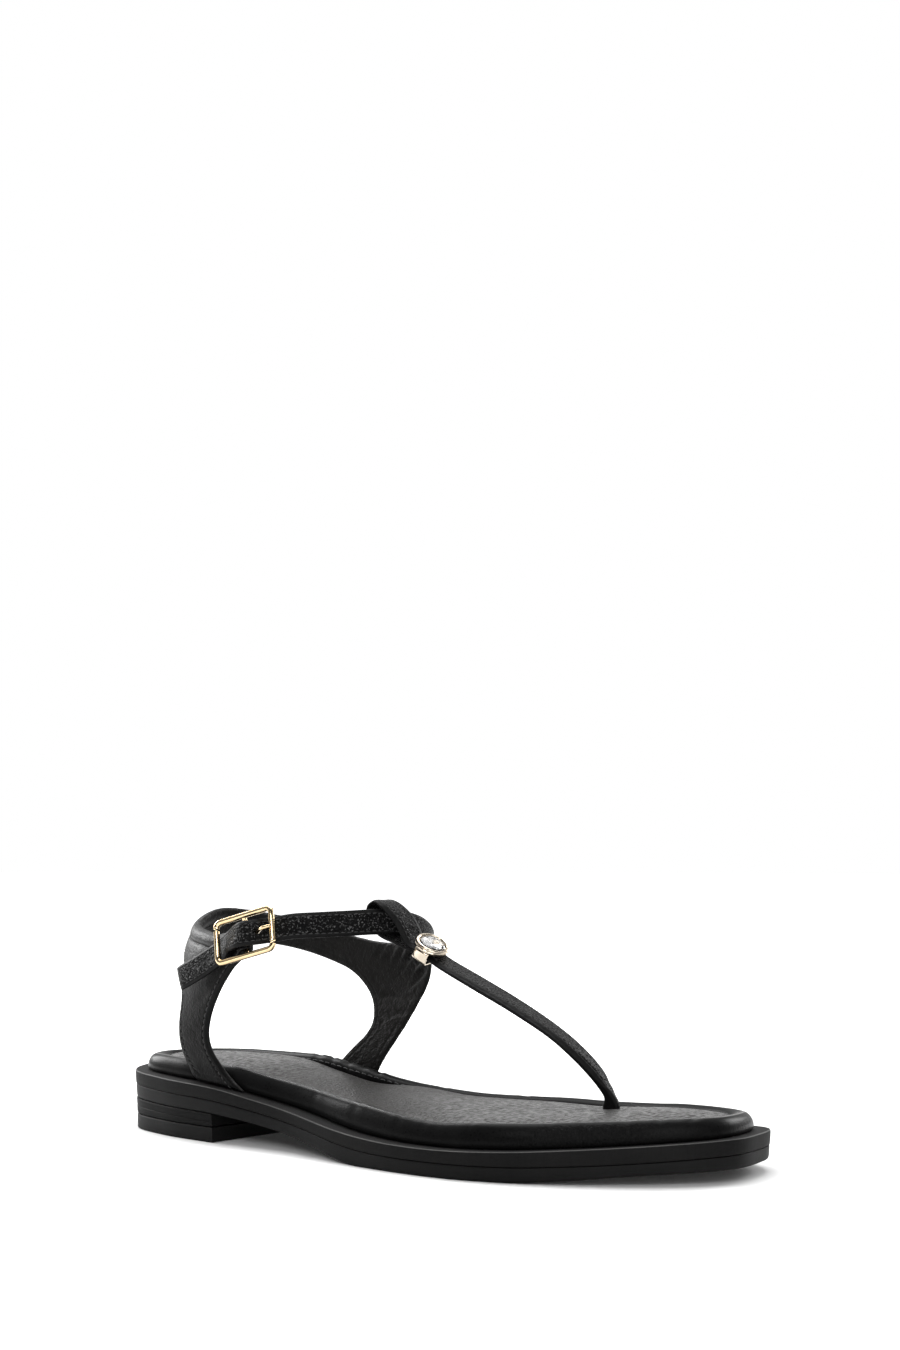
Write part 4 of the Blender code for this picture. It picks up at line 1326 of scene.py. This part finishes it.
    def _relief(self, sheet: Pattern) -> tuple[np.ndarray, np.ndarray]:
        """Shape the faces by the collar, seams and creases.

        Args:
            sheet: The filled pattern.

        Returns:
            How far the outer and the inner face stand off the wall.
        """
        flat = sheet.points
        thick = self.half * np.sqrt(1 - (1 - np.clip(sheet.depth / self.edge_round, 0, 1)) ** 2)
        to_top = nearest(flat, spaced(self.edges["top"], 0.4))
        roll = np.sqrt(np.clip(1 - ((to_top - self.roll / 2) / (self.roll / 2)) ** 2, 0, 1))
        padded = np.interp(flat[:, 0] / self.mm_per_degree, self.roll_end, (1.0, 0.0))
        roll = roll * np.clip(sheet.depth / 1.2, 0, 1) * self.roll_lift * padded
        groove = self.roll_groove * padded * np.exp(-((to_top - self.roll - 0.4) / 0.3) ** 2)
        feet = np.vstack((self.edges["lateral_foot"], self.edges["medial_foot"]))
        to_foot = nearest(flat, spaced(feet, 0.4))
        sewn = (to_top > self.roll + 1.5) * np.clip((to_foot - 2.0) / 2.0, 0, 1)
        border = self.border_groove * np.exp(-((sheet.depth - self.border) / 0.26) ** 2)
        fall = self.border_fall * np.clip(1 - sheet.depth / self.border, 0, 1) ** 1.6
        border = sewn * (border + fall)
        sheen = np.array([0.1 * noise.noise(Vector((p[0] * 0.13, p[1] * 0.13, 7.0))) for p in flat])
        inside = thick > 0.6
        outer = thick + roll - groove - border
        outer = outer + (sheen - self._trough(flat, self.outer_creases)) * inside
        inner = thick + roll * 0.9 - groove - 0.5 * border
        inner = inner + (sheen - self._trough(flat, self.lining_creases)) * inside
        return outer, inner

    def build(self) -> None:
        """Build the shell and its stitches."""
        outline = spaced(np.vstack([rows[:-1] if name in ("window", "top") else rows
                                    for name, rows in self.edges.items()]), 1.3, closed=True)
        sheet = Pattern.cut(outline, 1.6, self.bands)
        points, out = self.surface(sheet.points)
        outer, inner = self._relief(sheet)
        front = points + out * np.maximum(outer, 0.0)[:, None]
        back = points - out * np.maximum(inner, 0.0)[:, None]
        count, rim = len(sheet.points), sheet.rim
        turn = {i: i if i < rim else count + i - rim for i in range(count)}
        faces = list(sheet.faces) + [tuple(turn[i] for i in face[::-1]) for face in sheet.faces]
        indices = [0] * len(sheet.faces) + [1] * len(sheet.faces)
        add_piece("heel_quarter", np.vstack((front, back[rim:])), faces, [Finish.QUARTER, Finish.LINING],
                  ["upper"], indices, sharp=65.0)
        self._stitch()

    def _stitch(self) -> None:
        """Sew the borders along the front edges and the window, and the line under the topline."""
        runs = []
        for name in ("lateral_front", "medial_front", "window", "top"):
            inset = self.roll + 0.9 if name == "top" else self.border
            rows = spaced(self.edges[name], 1.0)
            along = unit(np.gradient(rows, axis=0))
            flat = (rows + np.column_stack((-along[:, 1], along[:, 0])) * inset)[4:-4]
            if name == "top":
                flat = flat[flat[:, 0] < self.roll_end[0] * self.mm_per_degree]
            points, out = self.surface(flat)
            runs.append((points + out * (self.half - 0.1), out))
        Stitching(pitch=2.3, thread=0.36).build("quarter_stitches", runs, "upper_leather")


@dataclass
class StrapMaker:
    """Straps of folded leather: domed faces, rounded edges and sewn borders."""

    corner: int = 4
    radius: float = 0.4
    dome: float = 0.1
    seam: float = 1.3
    groove: float = 0.2
    fall: float = 0.4
    near: Sequence[float] = (0.0, 0.3, 0.58, 0.8, 1.0, 1.2, 1.45, 1.9, 2.6)
    middle: int = 7

    @property
    def across(self) -> int:
        """Points across a face."""
        return 2 * len(self.near) + self.middle - 2

    def sewn(self, reach: np.ndarray | float) -> np.ndarray:
        """Return how far the seam lies in from the flat face's end."""
        return np.minimum(self.seam - self.radius, 0.36 * np.asarray(reach))

    def section(self, width: float, thick: float) -> np.ndarray:
        """Return a strap's section as places across and out, round its outline.

        Args:
            width: The strap's width.
            thick: Its thickness.

        Returns:
            The closed section's points.
        """
        flat = float(np.clip((width - 4.0) / 2.0, 0.0, 1.0))
        radius = min(0.46 * width, 0.3 * thick, np.interp(width, (3.0, 6.0), (1.0, self.radius)))
        fall = flat * min(self.fall, 0.4 * thick, thick - 2 * radius)
        reach = width / 2 - radius
        sewn = float(self.sewn(reach))
        side = reach - np.array(self.near) * sewn
        x = np.concatenate((-side, np.linspace(-side[-1], side[-1], self.middle)[1:-1], side[::-1]))
        beyond = np.clip((np.abs(x) - reach + sewn) / sewn, 0.0, 1.0)
        trough = self.groove * flat * np.exp(-((np.abs(x) - reach + sewn) / 0.22) ** 2)
        face = thick / 2 + flat * self.dome * (1 - (2 * x / width) ** 2) - trough - fall * beyond ** 1.6
        turn = np.linspace(math.pi / 2, 0, self.corner + 1)[1:]
        bulge_x = width / 2 - radius + radius * np.cos(np.concatenate((turn, -turn[::-1])))
        upper = thick / 2 - fall - radius + radius * np.sin(turn)
        lower = -thick / 2 + radius - radius * np.sin(turn[::-1])
        top = np.column_stack((x, face))
        right = np.column_stack((bulge_x, np.concatenate((upper, lower))))
        under = np.column_stack((x[::-1], -(thick / 2) * np.ones_like(x)))
        left = np.column_stack((-bulge_x[::-1], np.concatenate((upper, lower))[::-1]))
        return np.vstack((top, right, under, left))

    def build(self, name: str, course: tuple[np.ndarray, ...], nodes: Sequence[str],
              finish: Finish = Finish.STRAP) -> bpy.types.Object:
        """Build a strap along a course.

        Args:
            name: The piece's name.
            course: Centre, sideways and outward directions, widths and thicknesses along it.
            nodes: The CAD nodes that it stands for.
            finish: The finish of its faces.

        Returns:
            The new object.
        """
        centre, sideways, out, width, thick = course
        rows = []
        last = len(centre) - 1
        for k in range(len(centre)):
            ease = {0: 0.25, 1: 0.75, last - 1: 0.75, last: 0.25}.get(k, 1.0)
            place = self.section(width[k] - (1 - ease) * 0.5, thick[k] * ease)
            rows.append(centre[k] + place[:, :1] * sideways[k] + place[:, 1:] * out[k])
        count = len(rows[0])
        total = count * len(rows)
        faces = grid_faces(len(rows), count)
        side = 2 * self.corner
        border = sum(1 for share in self.near if share < 1.0)
        edge = set(range(self.across - 1 - border, self.across + side)) | set(range(border))
        edge |= set(range(2 * self.across + side, count))
        indices = [1 if k % count in edge else 0 for k in range(len(faces))]
        hubs = [rows[0].mean(axis=0)[None], rows[-1].mean(axis=0)[None]]
        faces += fan(0, count, total) + fan(total - count, count, total + 1)
        indices += [1] * (2 * count)
        points = np.vstack((*rows, *hubs))
        finishes = [finish, Finish.EDGE]
        return add_piece(name, points, faces, finishes, nodes, indices, sharp=60.0)

    def seams(self, course: tuple[np.ndarray, ...], span: tuple[int, int],
              sides: Sequence[int] = (-1, 1)) -> list[tuple[np.ndarray, np.ndarray]]:
        """Return stitch runs along a strap's borders.

        Args:
            course: The strap's course.
            span: First and last row that is sewn.
            sides: Which borders are sewn.

        Returns:
            The runs, as points and outward directions.
        """
        centre, sideways, out, width, thick = (part[span[0]:span[1]] for part in course)
        runs = []
        for side in sides:
            across = (width / 2 - self.radius - self.sewn(width / 2 - self.radius))[:, None] * side
            runs.append((centre + sideways * across + out * (thick / 2 - 0.1)[:, None], out))
        return runs


@dataclass
class AnkleStrap:
    """Ankle strap from the medial wing, over the instep and through the buckle to its square tail."""

    thick: float = 1.5
    rows: Rows = (
        (134.0, 63.0, 0.0, 6.0, 0.0), (143.0, 64.3, 0.0, 8.4, 0.0), (151.0, 66.0, 0.0, 9.6, 0.0),
        (159.0, 69.6, 0.0, 9.4, 0.0), (167.0, 72.9, 0.0, 8.9, 0.0), (176.0, 75.0, 0.0, 8.6, 0.0),
        (186.0, 75.4, 0.0, 8.6, 0.0), (198.0, 75.0, 0.2, 8.6, 2.0), (211.0, 74.5, 0.8, 8.6, 6.0),
        (224.0, 73.8, 2.0, 8.6, 11.0), (236.5, 72.1, 3.2, 8.6, 14.0), (243.5, 70.8, 5.9, 8.6, 14.0),
        (251.0, 69.7, 7.3, 8.6, 14.0), (259.0, 68.6, 5.9, 8.6, 14.0), (269.0, 67.0, 3.2, 8.6, 14.0),
        (281.0, 63.0, 2.8, 8.6, 12.0), (296.0, 58.8, 4.0, 8.6, 8.0), (312.0, 54.6, 5.6, 8.6, 4.0),
    )
    per_span: int = 14
    hole: tuple[float, float] = (6.2, 1.9)

    def course(self, rows: np.ndarray, lifted: bool = True) -> tuple[np.ndarray, np.ndarray, np.ndarray]:
        """Follow rows of the table round the wall.

        Args:
            rows: The rows.
            lifted: Whether they are lifted off the wall.

        Returns:
            Points, directions and normals.
        """
        centre = LAST.wall(rows[:, 0], rows[:, 1])
        for offset in (rows[:, 2:3] if lifted else np.zeros((len(rows), 1)), 0.0):
            along = unit(np.gradient(centre, axis=0))
            upward = unit(np.array((0.0, 0.0, 1.0)) - along * along[:, 2:3])
            lean = np.radians(rows[:, 4:5])
            out = np.cos(lean) * np.cross(upward, along) + np.sin(lean) * upward
            centre = centre + out * offset
        return centre, along, out

    def build(self, maker: StrapMaker, buckle: "Buckle") -> None:
        """Build the strap with its hole and stitches.

        Args:
            maker: The maker of straps.
            buckle: The buckle that the hole lies under.
        """
        rows = spline(self.rows, self.per_span)
        centre, along, out = self.course(rows)
        course = (centre, np.cross(along, out), out, rows[:, 3], np.full(len(rows), self.thick))
        strap = maker.build("ankle_strap", course, [])
        cut_out(strap, punch(buckle.frame, *self.hole))
        span = (3 * self.per_span, len(rows) - 4)
        Stitching(pitch=2.2, thread=0.34).build("ankle_stitches", maker.seams(course, span), "upper_leather")


def punch(frame: Matrix, place: float, size: float) -> bpy.types.Object:
    """Make a round cutter through a strap.

    Args:
        frame: The buckle's local frame.
        place: Where along the buckle it cuts.
        size: Its diameter.

    Returns:
        The cutter.
    """
    form = bmesh.new()
    radius = size / 2 * MM
    bmesh.ops.create_cone(form, cap_ends=True, segments=20, radius1=radius, radius2=radius, depth=14 * MM)
    bmesh.ops.scale(form, vec=(1.5, 1.0, 1.0), verts=form.verts)
    bmesh.ops.translate(form, vec=(place * MM, 0.0, 6 * MM), verts=form.verts)
    mesh = bpy.data.meshes.new("punch")
    form.to_mesh(mesh)
    form.free()
    tool = bpy.data.objects.new("punch", mesh)
    bpy.context.scene.collection.objects.link(tool)
    world = frame.copy()
    world.translation = Vector(to_part(np.array(frame.translation)))
    tool.matrix_world = world
    bpy.context.view_layer.update()
    return tool


def cut_out(item: bpy.types.Object, tool: bpy.types.Object) -> None:
    """Cut a tool's form out of an object's mesh, and remove the tool.

    Args:
        item: The object.
        tool: The cutter.
    """
    cut = item.modifiers.new("cut", "BOOLEAN")
    cut.object = tool
    cut.solver = "EXACT"
    bpy.context.view_layer.update()
    graph = bpy.context.evaluated_depsgraph_get()
    mesh = bpy.data.meshes.new_from_object(item.evaluated_get(graph), depsgraph=graph)
    item.modifiers.clear()
    item.data = mesh
    bpy.data.objects.remove(tool)


@dataclass
class ToeStrap:
    """Toe strap: post in the footbed, strap over the foot, and the loop round the ankle strap."""

    rows: Rows = (
        (196.2, 12.0, 11.2, 2.2, 5.6, 0.0, 0.0), (196.2, 12.0, 17.4, 2.4, 6.0, 0.0, 0.0),
        (195.7, 11.9, 20.5, 2.8, 3.7, 0.0, 0.0), (193.9, 11.9, 23.6, 4.6, 2.7, 0.0, 0.0),
        (190.8, 11.7, 27.9, 7.0, 2.5, 0.0, 2.0), (184.85, 10.4, 33.95, 8.0, 2.3, 0.0, 5.0),
        (176.28, 8.8, 40.6, 8.6, 2.1, 0.0, 5.0), (162.4, 7.1, 48.44, 8.8, 2.1, 3.0, 7.0),
        (147.12, 6.1, 55.61, 8.8, 2.1, 6.0, 7.5), (133.85, 5.3, 61.75, 8.8, 1.7, 11.0, 5.0),
        (127.6, 4.7, 65.5, 8.8, 1.0, 14.0, 1.0), (125.0, 4.3, 67.0, 8.8, 1.1, 14.0, 0.0),
        (122.9, 3.8, 68.5, 9.0, 1.4, 14.0, 0.0), (121.2, 3.3, 71.0, 9.0, 1.5, 14.0, 0.0),
        (119.9, 2.7, 74.0, 9.0, 1.5, 14.0, 0.0), (118.1, 2.0, 77.0, 9.0, 1.5, 14.0, 0.0),
        (115.5, 1.2, 79.7, 9.0, 1.5, 14.0, 0.0), (113.1, 0.6, 81.4, 9.0, 1.5, 14.0, 0.0),
        (110.8, 0.2, 82.0, 9.0, 1.5, 14.0, 0.0), (108.9, 0.0, 80.9, 9.0, 1.5, 14.0, 0.0),
        (108.3, 0.0, 79.0, 9.0, 1.5, 14.0, 0.0), (109.2, 0.1, 75.8, 9.0, 1.5, 14.0, 0.0),
        (111.0, 0.4, 72.8, 9.0, 1.5, 14.0, 0.0), (113.6, 1.0, 70.6, 9.0, 1.5, 14.0, 0.0),
        (117.2, 2.0, 69.0, 9.0, 1.5, 14.0, 0.0), (121.0, 3.2, 67.2, 8.8, 1.2, 14.0, 0.0),
        (124.4, 4.4, 65.8, 8.8, 1.0, 14.0, 0.0), (127.0, 4.8, 64.35, 8.8, 1.0, 14.0, 0.0),
        (129.5, 5.0, 62.95, 8.8, 1.0, 14.0, 0.0),
    )
    per_span: int = 9
    ornament_row: int = 10

    @cached_property
    def course(self) -> tuple[np.ndarray, ...]:
        """Centre, along, out, width and thickness along the strap."""
        rows = spline(self.rows, self.per_span)
        along = unit(np.gradient(rows[:, :3], axis=0))
        turn, roll = np.radians(rows[:, 5:7]).T
        sideways = np.column_stack((np.sin(turn) * np.cos(roll), np.cos(turn) * np.cos(roll), np.sin(roll)))
        return rows[:, :3], along, unit(np.cross(sideways, along)), rows[:, 3], rows[:, 4]

    @cached_property
    def ornament_frame(self) -> Matrix:
        """The ornament's local frame, with X along the strap towards the toe."""
        centre, along, out, _, _ = self.course
        row = self.ornament_row * self.per_span
        return local_frame(centre[row], -along[row], out[row])

    def build(self, maker: StrapMaker) -> None:
        """Build the strap and its stitches.

        Args:
            maker: The maker of straps.
        """
        centre, along, out, width, thick = self.course
        course = (centre, np.cross(along, out), out, width, thick)
        maker.build("toe_strap", course, [], Finish.TOE_STRAP)
        runs = maker.seams(course, (5 * self.per_span, 10 * self.per_span - 4))
        runs += maker.seams(course, (11 * self.per_span, 19 * self.per_span))
        Stitching(pitch=2.2, thread=0.34).build("toe_stitches", runs, "upper_leather")


def local_frame(origin: np.ndarray, along: np.ndarray, out: np.ndarray) -> Matrix:
    """Make a local frame.

    Args:
        origin: Its origin in the last's frame.
        along: The direction of its X.
        out: The direction that its Z leans to.

    Returns:
        Its matrix.
    """
    z = unit(out - along * np.dot(out, along))
    matrix = Matrix((along, np.cross(z, along), z)).transposed().to_4x4()
    matrix.translation = Vector(origin)
    return matrix


def placed(frame: Matrix, points: np.ndarray) -> np.ndarray:
    """Return local points in the last's frame."""
    turn = np.array(frame.to_3x3())
    return np.asarray(points) @ turn.T + np.array(frame.translation)


def tube(path: np.ndarray, radius: np.ndarray, sides: int, closed: bool,
         level: Sequence[float] = (0.03, 1.0, 0.02)) -> tuple[np.ndarray, Faces]:
    """Return a round tube along a path.

    Args:
        path: The points that it follows.
        radius: Its radius at each point.
        sides: How many sides it has.
        closed: Whether it closes on itself.
        level: A direction that the path never takes, which the sections are turned by.

    Returns:
        Its vertices and faces.
    """
    if closed:
        along = unit(np.roll(path, -1, axis=0) - np.roll(path, 1, axis=0))
    else:
        along = unit(np.gradient(path, axis=0))
    side = unit(np.cross(along, np.array(level)))
    other = np.cross(along, side)
    rings = [p + r * hoop(sides, s, o) for p, r, s, o in zip(path, radius, side, other)]
    points = np.vstack(rings)
    faces = grid_faces(len(path), sides, wrap_rows=closed)
    if not closed:
        total = len(points)
        faces += fan(0, sides, total) + fan(total - sides, sides, total + 1)
        points = np.vstack((points, path[:1], path[-1:]))
    return points, faces


@dataclass
class Buckle:
    """Centre-bar buckle: wire frame, bar, prong and the chape folded round the bar."""

    strap: AnkleStrap
    degrees: float = 251.4
    long: float = 26.0
    tall: float = 16.4
    wire: float = 2.1
    corner: float = 1.9
    out: float = 4.9
    bar_wire: float = 1.6
    bar_out: float = 4.0
    bar_bend: float = 2.4
    chape_width: float = 10.0
    chape_thick: float = 1.0
    chape: Rows = (
        (-3.6, 2.3), (-2.0, 2.35), (0.2, 2.4), (1.5, 3.2), (1.5, 4.8), (0.2, 5.6), (-2.0, 5.0), (-4.2, 3.6),
    )
    prong: Rows = (
        (0.7, 5.4, 0.5), (-0.8, 5.4, 0.6), (-1.65, 4.0, 0.65), (-0.8, 2.55, 0.65), (1.0, 2.45, 0.65),
        (3.4, 3.4, 0.65), (6.2, 5.2, 0.65), (8.6, 6.7, 0.62), (11.2, 6.95, 0.6), (12.6, 6.95, 0.45),
    )
    prong_slot: tuple[float, float] = (-0.1, 2.0)
    slot_stretch: float = 1.7

    @cached_property
    def frame(self) -> Matrix:
        """The buckle's local frame, with X along the strap towards the toe."""
        rows = spline(self.strap.rows, 8)
        centre, along, out = self.strap.course(rows, lifted=False)
        middle = int(np.argmin(np.abs(rows[:, 0] - self.degrees)))
        return local_frame(centre[middle], -along[middle], out[middle])

    def build(self, maker: StrapMaker) -> None:
        """Build the frame with its bar, the prong and the chape.

        Args:
            maker: The maker of straps.
        """
        half = np.array((self.long, self.tall)) / 2 - self.wire / 2
        plan = rounded_box(half, self.corner, 10)
        loop = spaced(np.column_stack((plan, np.full(len(plan), self.out))), 0.9, closed=True)
        points, faces = tube(loop, np.full(len(loop), self.wire / 2), 18, True)
        outer, inner = half[1] - 0.3, half[1] - self.bar_bend
        bar = ((0.0, -outer, self.out - 0.3), (0.0, -inner, self.bar_out), (0.0, 0.0, self.bar_out),
               (0.0, inner, self.bar_out), (0.0, outer, self.out - 0.3))
        bar_path = spline(bar, 8)
        bar_radius = np.full(len(bar_path), self.bar_wire / 2)
        bar_points, bar_faces = tube(bar_path, bar_radius, 14, False, (0.0, 0.0, 1.0))
        joined = faces + [tuple(len(points) + i for i in face) for face in bar_faces]
        add_piece("buckle_frame_wire", placed(self.frame, np.vstack((points, bar_points))), joined,
                  [Finish.GOLD], ["buckle_frame"], sharp=60.0)
        rows = spline(self.prong, 8)
        course = np.column_stack((rows[:, 0], np.zeros(len(rows)), rows[:, 1]))
        points, faces = tube(course, rows[:, 2], 14, False)
        add_piece("buckle_prong_wire", placed(self.frame, points), faces, [Finish.GOLD],
                  ["buckle_prong"], sharp=60.0)
        self._build_chape(maker)

    def _build_chape(self, maker: StrapMaker) -> None:
        """Build the leather fold that holds the bar, open for the prong.

        Args:
            maker: The maker of straps.
        """
        fold = spline(self.chape, 8)
        centre = np.column_stack((fold[:, 0], np.zeros(len(fold)), fold[:, 1]))
        along = unit(np.gradient(centre, axis=0))
        across = np.tile((0.0, 1.0, 0.0), (len(fold), 1))
        out = np.cross(along, across)
        turn = np.array(self.frame.to_3x3())
        course = (placed(self.frame, centre), across @ turn.T, out @ turn.T,
                  np.full(len(fold), self.chape_width), np.full(len(fold), self.chape_thick))
        fold_piece = maker.build("buckle_fold", course, ["buckle_chape"])
        tool = punch(self.frame, *self.prong_slot)
        tool.matrix_world = tool.matrix_world @ Matrix.Diagonal((self.slot_stretch, 1.0, 1.0, 1.0))
        cut_out(fold_piece, tool)


@dataclass
class Ornament:
    """Round bezel with a cut stone, on a slide round the toe strap."""

    frame: Matrix
    bezel: Rows = (
        (0.0, 2.6), (4.3, 2.6), (4.62, 2.75), (4.75, 3.1), (4.8, 3.45), (5.0, 3.7), (5.3, 3.8), (5.6, 3.72),
        (5.82, 3.5), (5.88, 3.2), (5.7, 3.0), (5.62, 2.8), (5.72, 2.6), (5.9, 2.45), (5.92, 2.1), (5.8, 1.75),
        (5.5, 1.55), (5.2, 1.5), (0.0, 1.5),
    )
    slide_long: float = 5.8
    slide_wide: float = 11.0
    slide_wall: float = 0.6
    slide_low: float = -2.7
    slide_high: float = 1.8
    slide_bevel: float = 0.12
    stone: Rows = ((8, 0.0, 2.55, 4.5), (8, 0.5, 3.45, 4.18), (16, 0.5, 4.35, 3.62), (16, 0.5, 4.4, 3.25),
                   (16, 0.5, 3.4, 2.95))

    def build(self) -> None:
        """Build the bezel with the slide, and the stone."""
        steps = 72
        turn = np.linspace(0, 2 * math.pi, steps, endpoint=False)
        profile = np.array(self.bezel[1:-1])
        rings = [np.column_stack((r * np.cos(turn), r * np.sin(turn), np.full(steps, z))) for r, z in profile]
        total = len(rings) * steps
        faces = grid_faces(len(rings), steps) + fan(0, steps, total) + fan(total - steps, steps, total + 1)
        hubs = np.array(((0.0, 0.0, self.bezel[0][1]), (0.0, 0.0, self.bezel[-1][1])))
        points, more = self._slide()
        faces += [tuple(total + 2 + i for i in face) for face in more]
        add_piece("ornament_setting", placed(self.frame, np.vstack((*rings, hubs, points))), faces,
                  [Finish.WHITE_GOLD], ["ornament_bezel"], sharp=40.0)
        self._stone()

    def _slide(self) -> tuple[np.ndarray, Faces]:
        """Shape the slide, a flat tube with rounded corners round the strap.

        Returns:
            Its vertices and faces.
        """
        middle = (self.slide_low + self.slide_high) / 2
        wall, bevel = self.slide_wall, self.slide_bevel
        outside = ((bevel, 1.0), (0.0, 0.94), (0.0, -0.94), (bevel, -1.0))
        inside = ((wall - bevel, -1.0), (wall, -0.94), (wall, 0.94), (wall - bevel, 1.0))
        rows = []
        for inset, reach in outside + inside:
            half = (self.slide_wide / 2 - inset, (self.slide_high - self.slide_low) / 2 - inset)
            plan = rounded_box(half, max(0.3, 1.0 - inset), 6)
            along = np.full(len(plan), reach * self.slide_long / 2)
            rows.append(np.column_stack((along, plan[:, 0], middle + plan[:, 1])))
        return np.vstack(rows), grid_faces(len(rows), len(rows[0]), wrap_rows=True)

    def _stone(self) -> None:
        """Build the cut stone, as the hull of its facet corners."""
        corners = []
        for count, start, radius, height in self.stone:
            turn = 2 * math.pi * (np.arange(count) + start) / count
            plan = radius * np.column_stack((np.cos(turn), np.sin(turn)))
            corners.append(np.column_stack((plan, np.full(count, height))))
        form = bmesh.new()
        for corner in np.vstack(corners):
            form.verts.new(Vector(corner))
        bmesh.ops.convex_hull(form, input=form.verts)
        bmesh.ops.dissolve_limit(form, angle_limit=math.radians(2), verts=form.verts, edges=form.edges)
        form.verts.index_update()
        points = np.array([vert.co[:] for vert in form.verts])
        faces = [tuple(vert.index for vert in face.verts) for face in form.faces]
        form.free()
        add_piece("cut_stone", placed(self.frame, points), faces, [Finish.CRYSTAL],
                  ["ornament_stone"], sharp=4.0)


# Studio

@dataclass(frozen=True)
class SoftBox:
    """A square soft light."""

    name: str
    place: tuple[float, float, float]
    aim: tuple[float, float, float]
    size: float
    power: float


@dataclass
class Studio:
    """Plain pale floor, soft light and the photograph's camera."""

    azimuth: float = 38.0
    elevation: float = 5.0
    eye: tuple[float, float, float] = (554.2, -530.3, 95.5)
    focal_px: float = 2033.0
    frame_px: tuple[float, float] = (900.0, 1350.0)
    axis_px: float = 1040.0
    sensor: float = 36.0
    boxes: tuple[SoftBox, ...] = (
        SoftBox("overhead", (-0.2, 0.2, 1.2), (0.0, 0.0, 0.03), 1.0, 16.0),
        SoftBox("left", (-1.05, 0.08, 0.42), (-0.05, 0.0, 0.05), 0.4, 6.5),
        SoftBox("right", (0.3, 1.0, 0.5), (0.03, 0.0, 0.05), 0.4, 5.0),
        SoftBox("front", (0.36, -1.1, 0.72), (0.03, 0.0, 0.03), 0.42, 4.5),
        SoftBox("near", (1.0, -0.75, 0.55), (0.0, 0.0, 0.04), 0.8, 6.0),
        SoftBox("high", (-0.75, 0.25, 0.75), (-0.08, 0.0, 0.07), 0.3, 3.0),
    )
    glow: tuple[float, float] = (0.03, 0.8)
    floor_size: float = 14.0

    def build(self) -> None:
        """Add the floor, the lights, the world and the camera."""
        form = bmesh.new()
        bmesh.ops.create_grid(form, x_segments=1, y_segments=1, size=self.floor_size)
        mesh = bpy.data.meshes.new("floor")
        form.to_mesh(mesh)
        form.free()
        mesh.materials.append(Finish.FLOOR.material)
        floor = bpy.data.objects.new("floor", mesh)
        bpy.context.scene.collection.objects.link(floor)
        for box in self.boxes:
            self._light(box)
        self._world()
        bpy.context.scene.view_settings.view_transform = "Standard"
        self._camera()

    def _world(self) -> None:
        """Add a world that is white to look at and lights the sandal mostly from behind."""
        world = bpy.data.worlds.new("studio")
        bpy.context.scene.world = world
        tree = ShaderTree(world, "Background")
        behind = (-math.sin(math.radians(self.azimuth)), math.cos(math.radians(self.azimuth)), 0.35)
        ray = tree.node("ShaderNodeTexCoord", output="Generated")
        facing = tree.share(ray, behind)
        glow = tree.ramp(facing * 0.5 + 0.5, (0.35, self.glow[0]), (0.85, self.glow[1]))
        seen = tree.node("ShaderNodeLightPath", output="Is Camera Ray")
        tree.set(color=tree.blend(seen, glow, rgba((1.0, 1.0, 1.0))), strength=1.0)

    @staticmethod
    def _light(box: SoftBox) -> None:
        """Add a soft light.

        Args:
            box: The light.
        """
        light = bpy.data.lights.new(box.name, "AREA")
        light.shape = "SQUARE"
        light.size = box.size
        light.energy = box.power
        item = bpy.data.objects.new(box.name, light)
        item.location = box.place
        item.rotation_euler = (Vector(box.aim) - Vector(box.place)).to_track_quat("-Z", "Y").to_euler()
        bpy.context.scene.collection.objects.link(item)

    def _camera(self) -> None:
        """Add the camera at the photograph's angle."""
        camera = bpy.data.cameras.new("camera")
        camera.sensor_fit = "VERTICAL"
        camera.sensor_height = self.sensor
        camera.lens = self.focal_px * self.sensor / self.frame_px[1]
        camera.shift_y = (self.axis_px - self.frame_px[1] / 2) / self.frame_px[1]
        camera.clip_start = 0.01
        item = bpy.data.objects.new("camera", camera)
        item.location = Vector(to_part(np.array(self.eye)))
        item.rotation_euler = (math.radians(90 - self.elevation), 0.0, math.radians(self.azimuth))
        bpy.context.scene.collection.objects.link(item)
        bpy.context.scene.camera = item


def main() -> None:
    """Build the sandal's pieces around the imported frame, and the studio."""
    logging.basicConfig(level=logging.INFO, format="%(name)s: %(message)s")
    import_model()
    maker = StrapMaker()
    ankle = AnkleStrap()
    toe = ToeStrap()
    buckle = Buckle(ankle)
    Studio().build()
    Sole().build()
    Footbed().build()
    Quarter().build()
    ankle.build(maker, buckle)
    toe.build(StrapMaker(seam=1.8, fall=0.8, groove=0.26, dome=0.06))
    buckle.build(maker)
    Ornament(toe.ornament_frame).build()


if __name__ == "__main__":
    main()
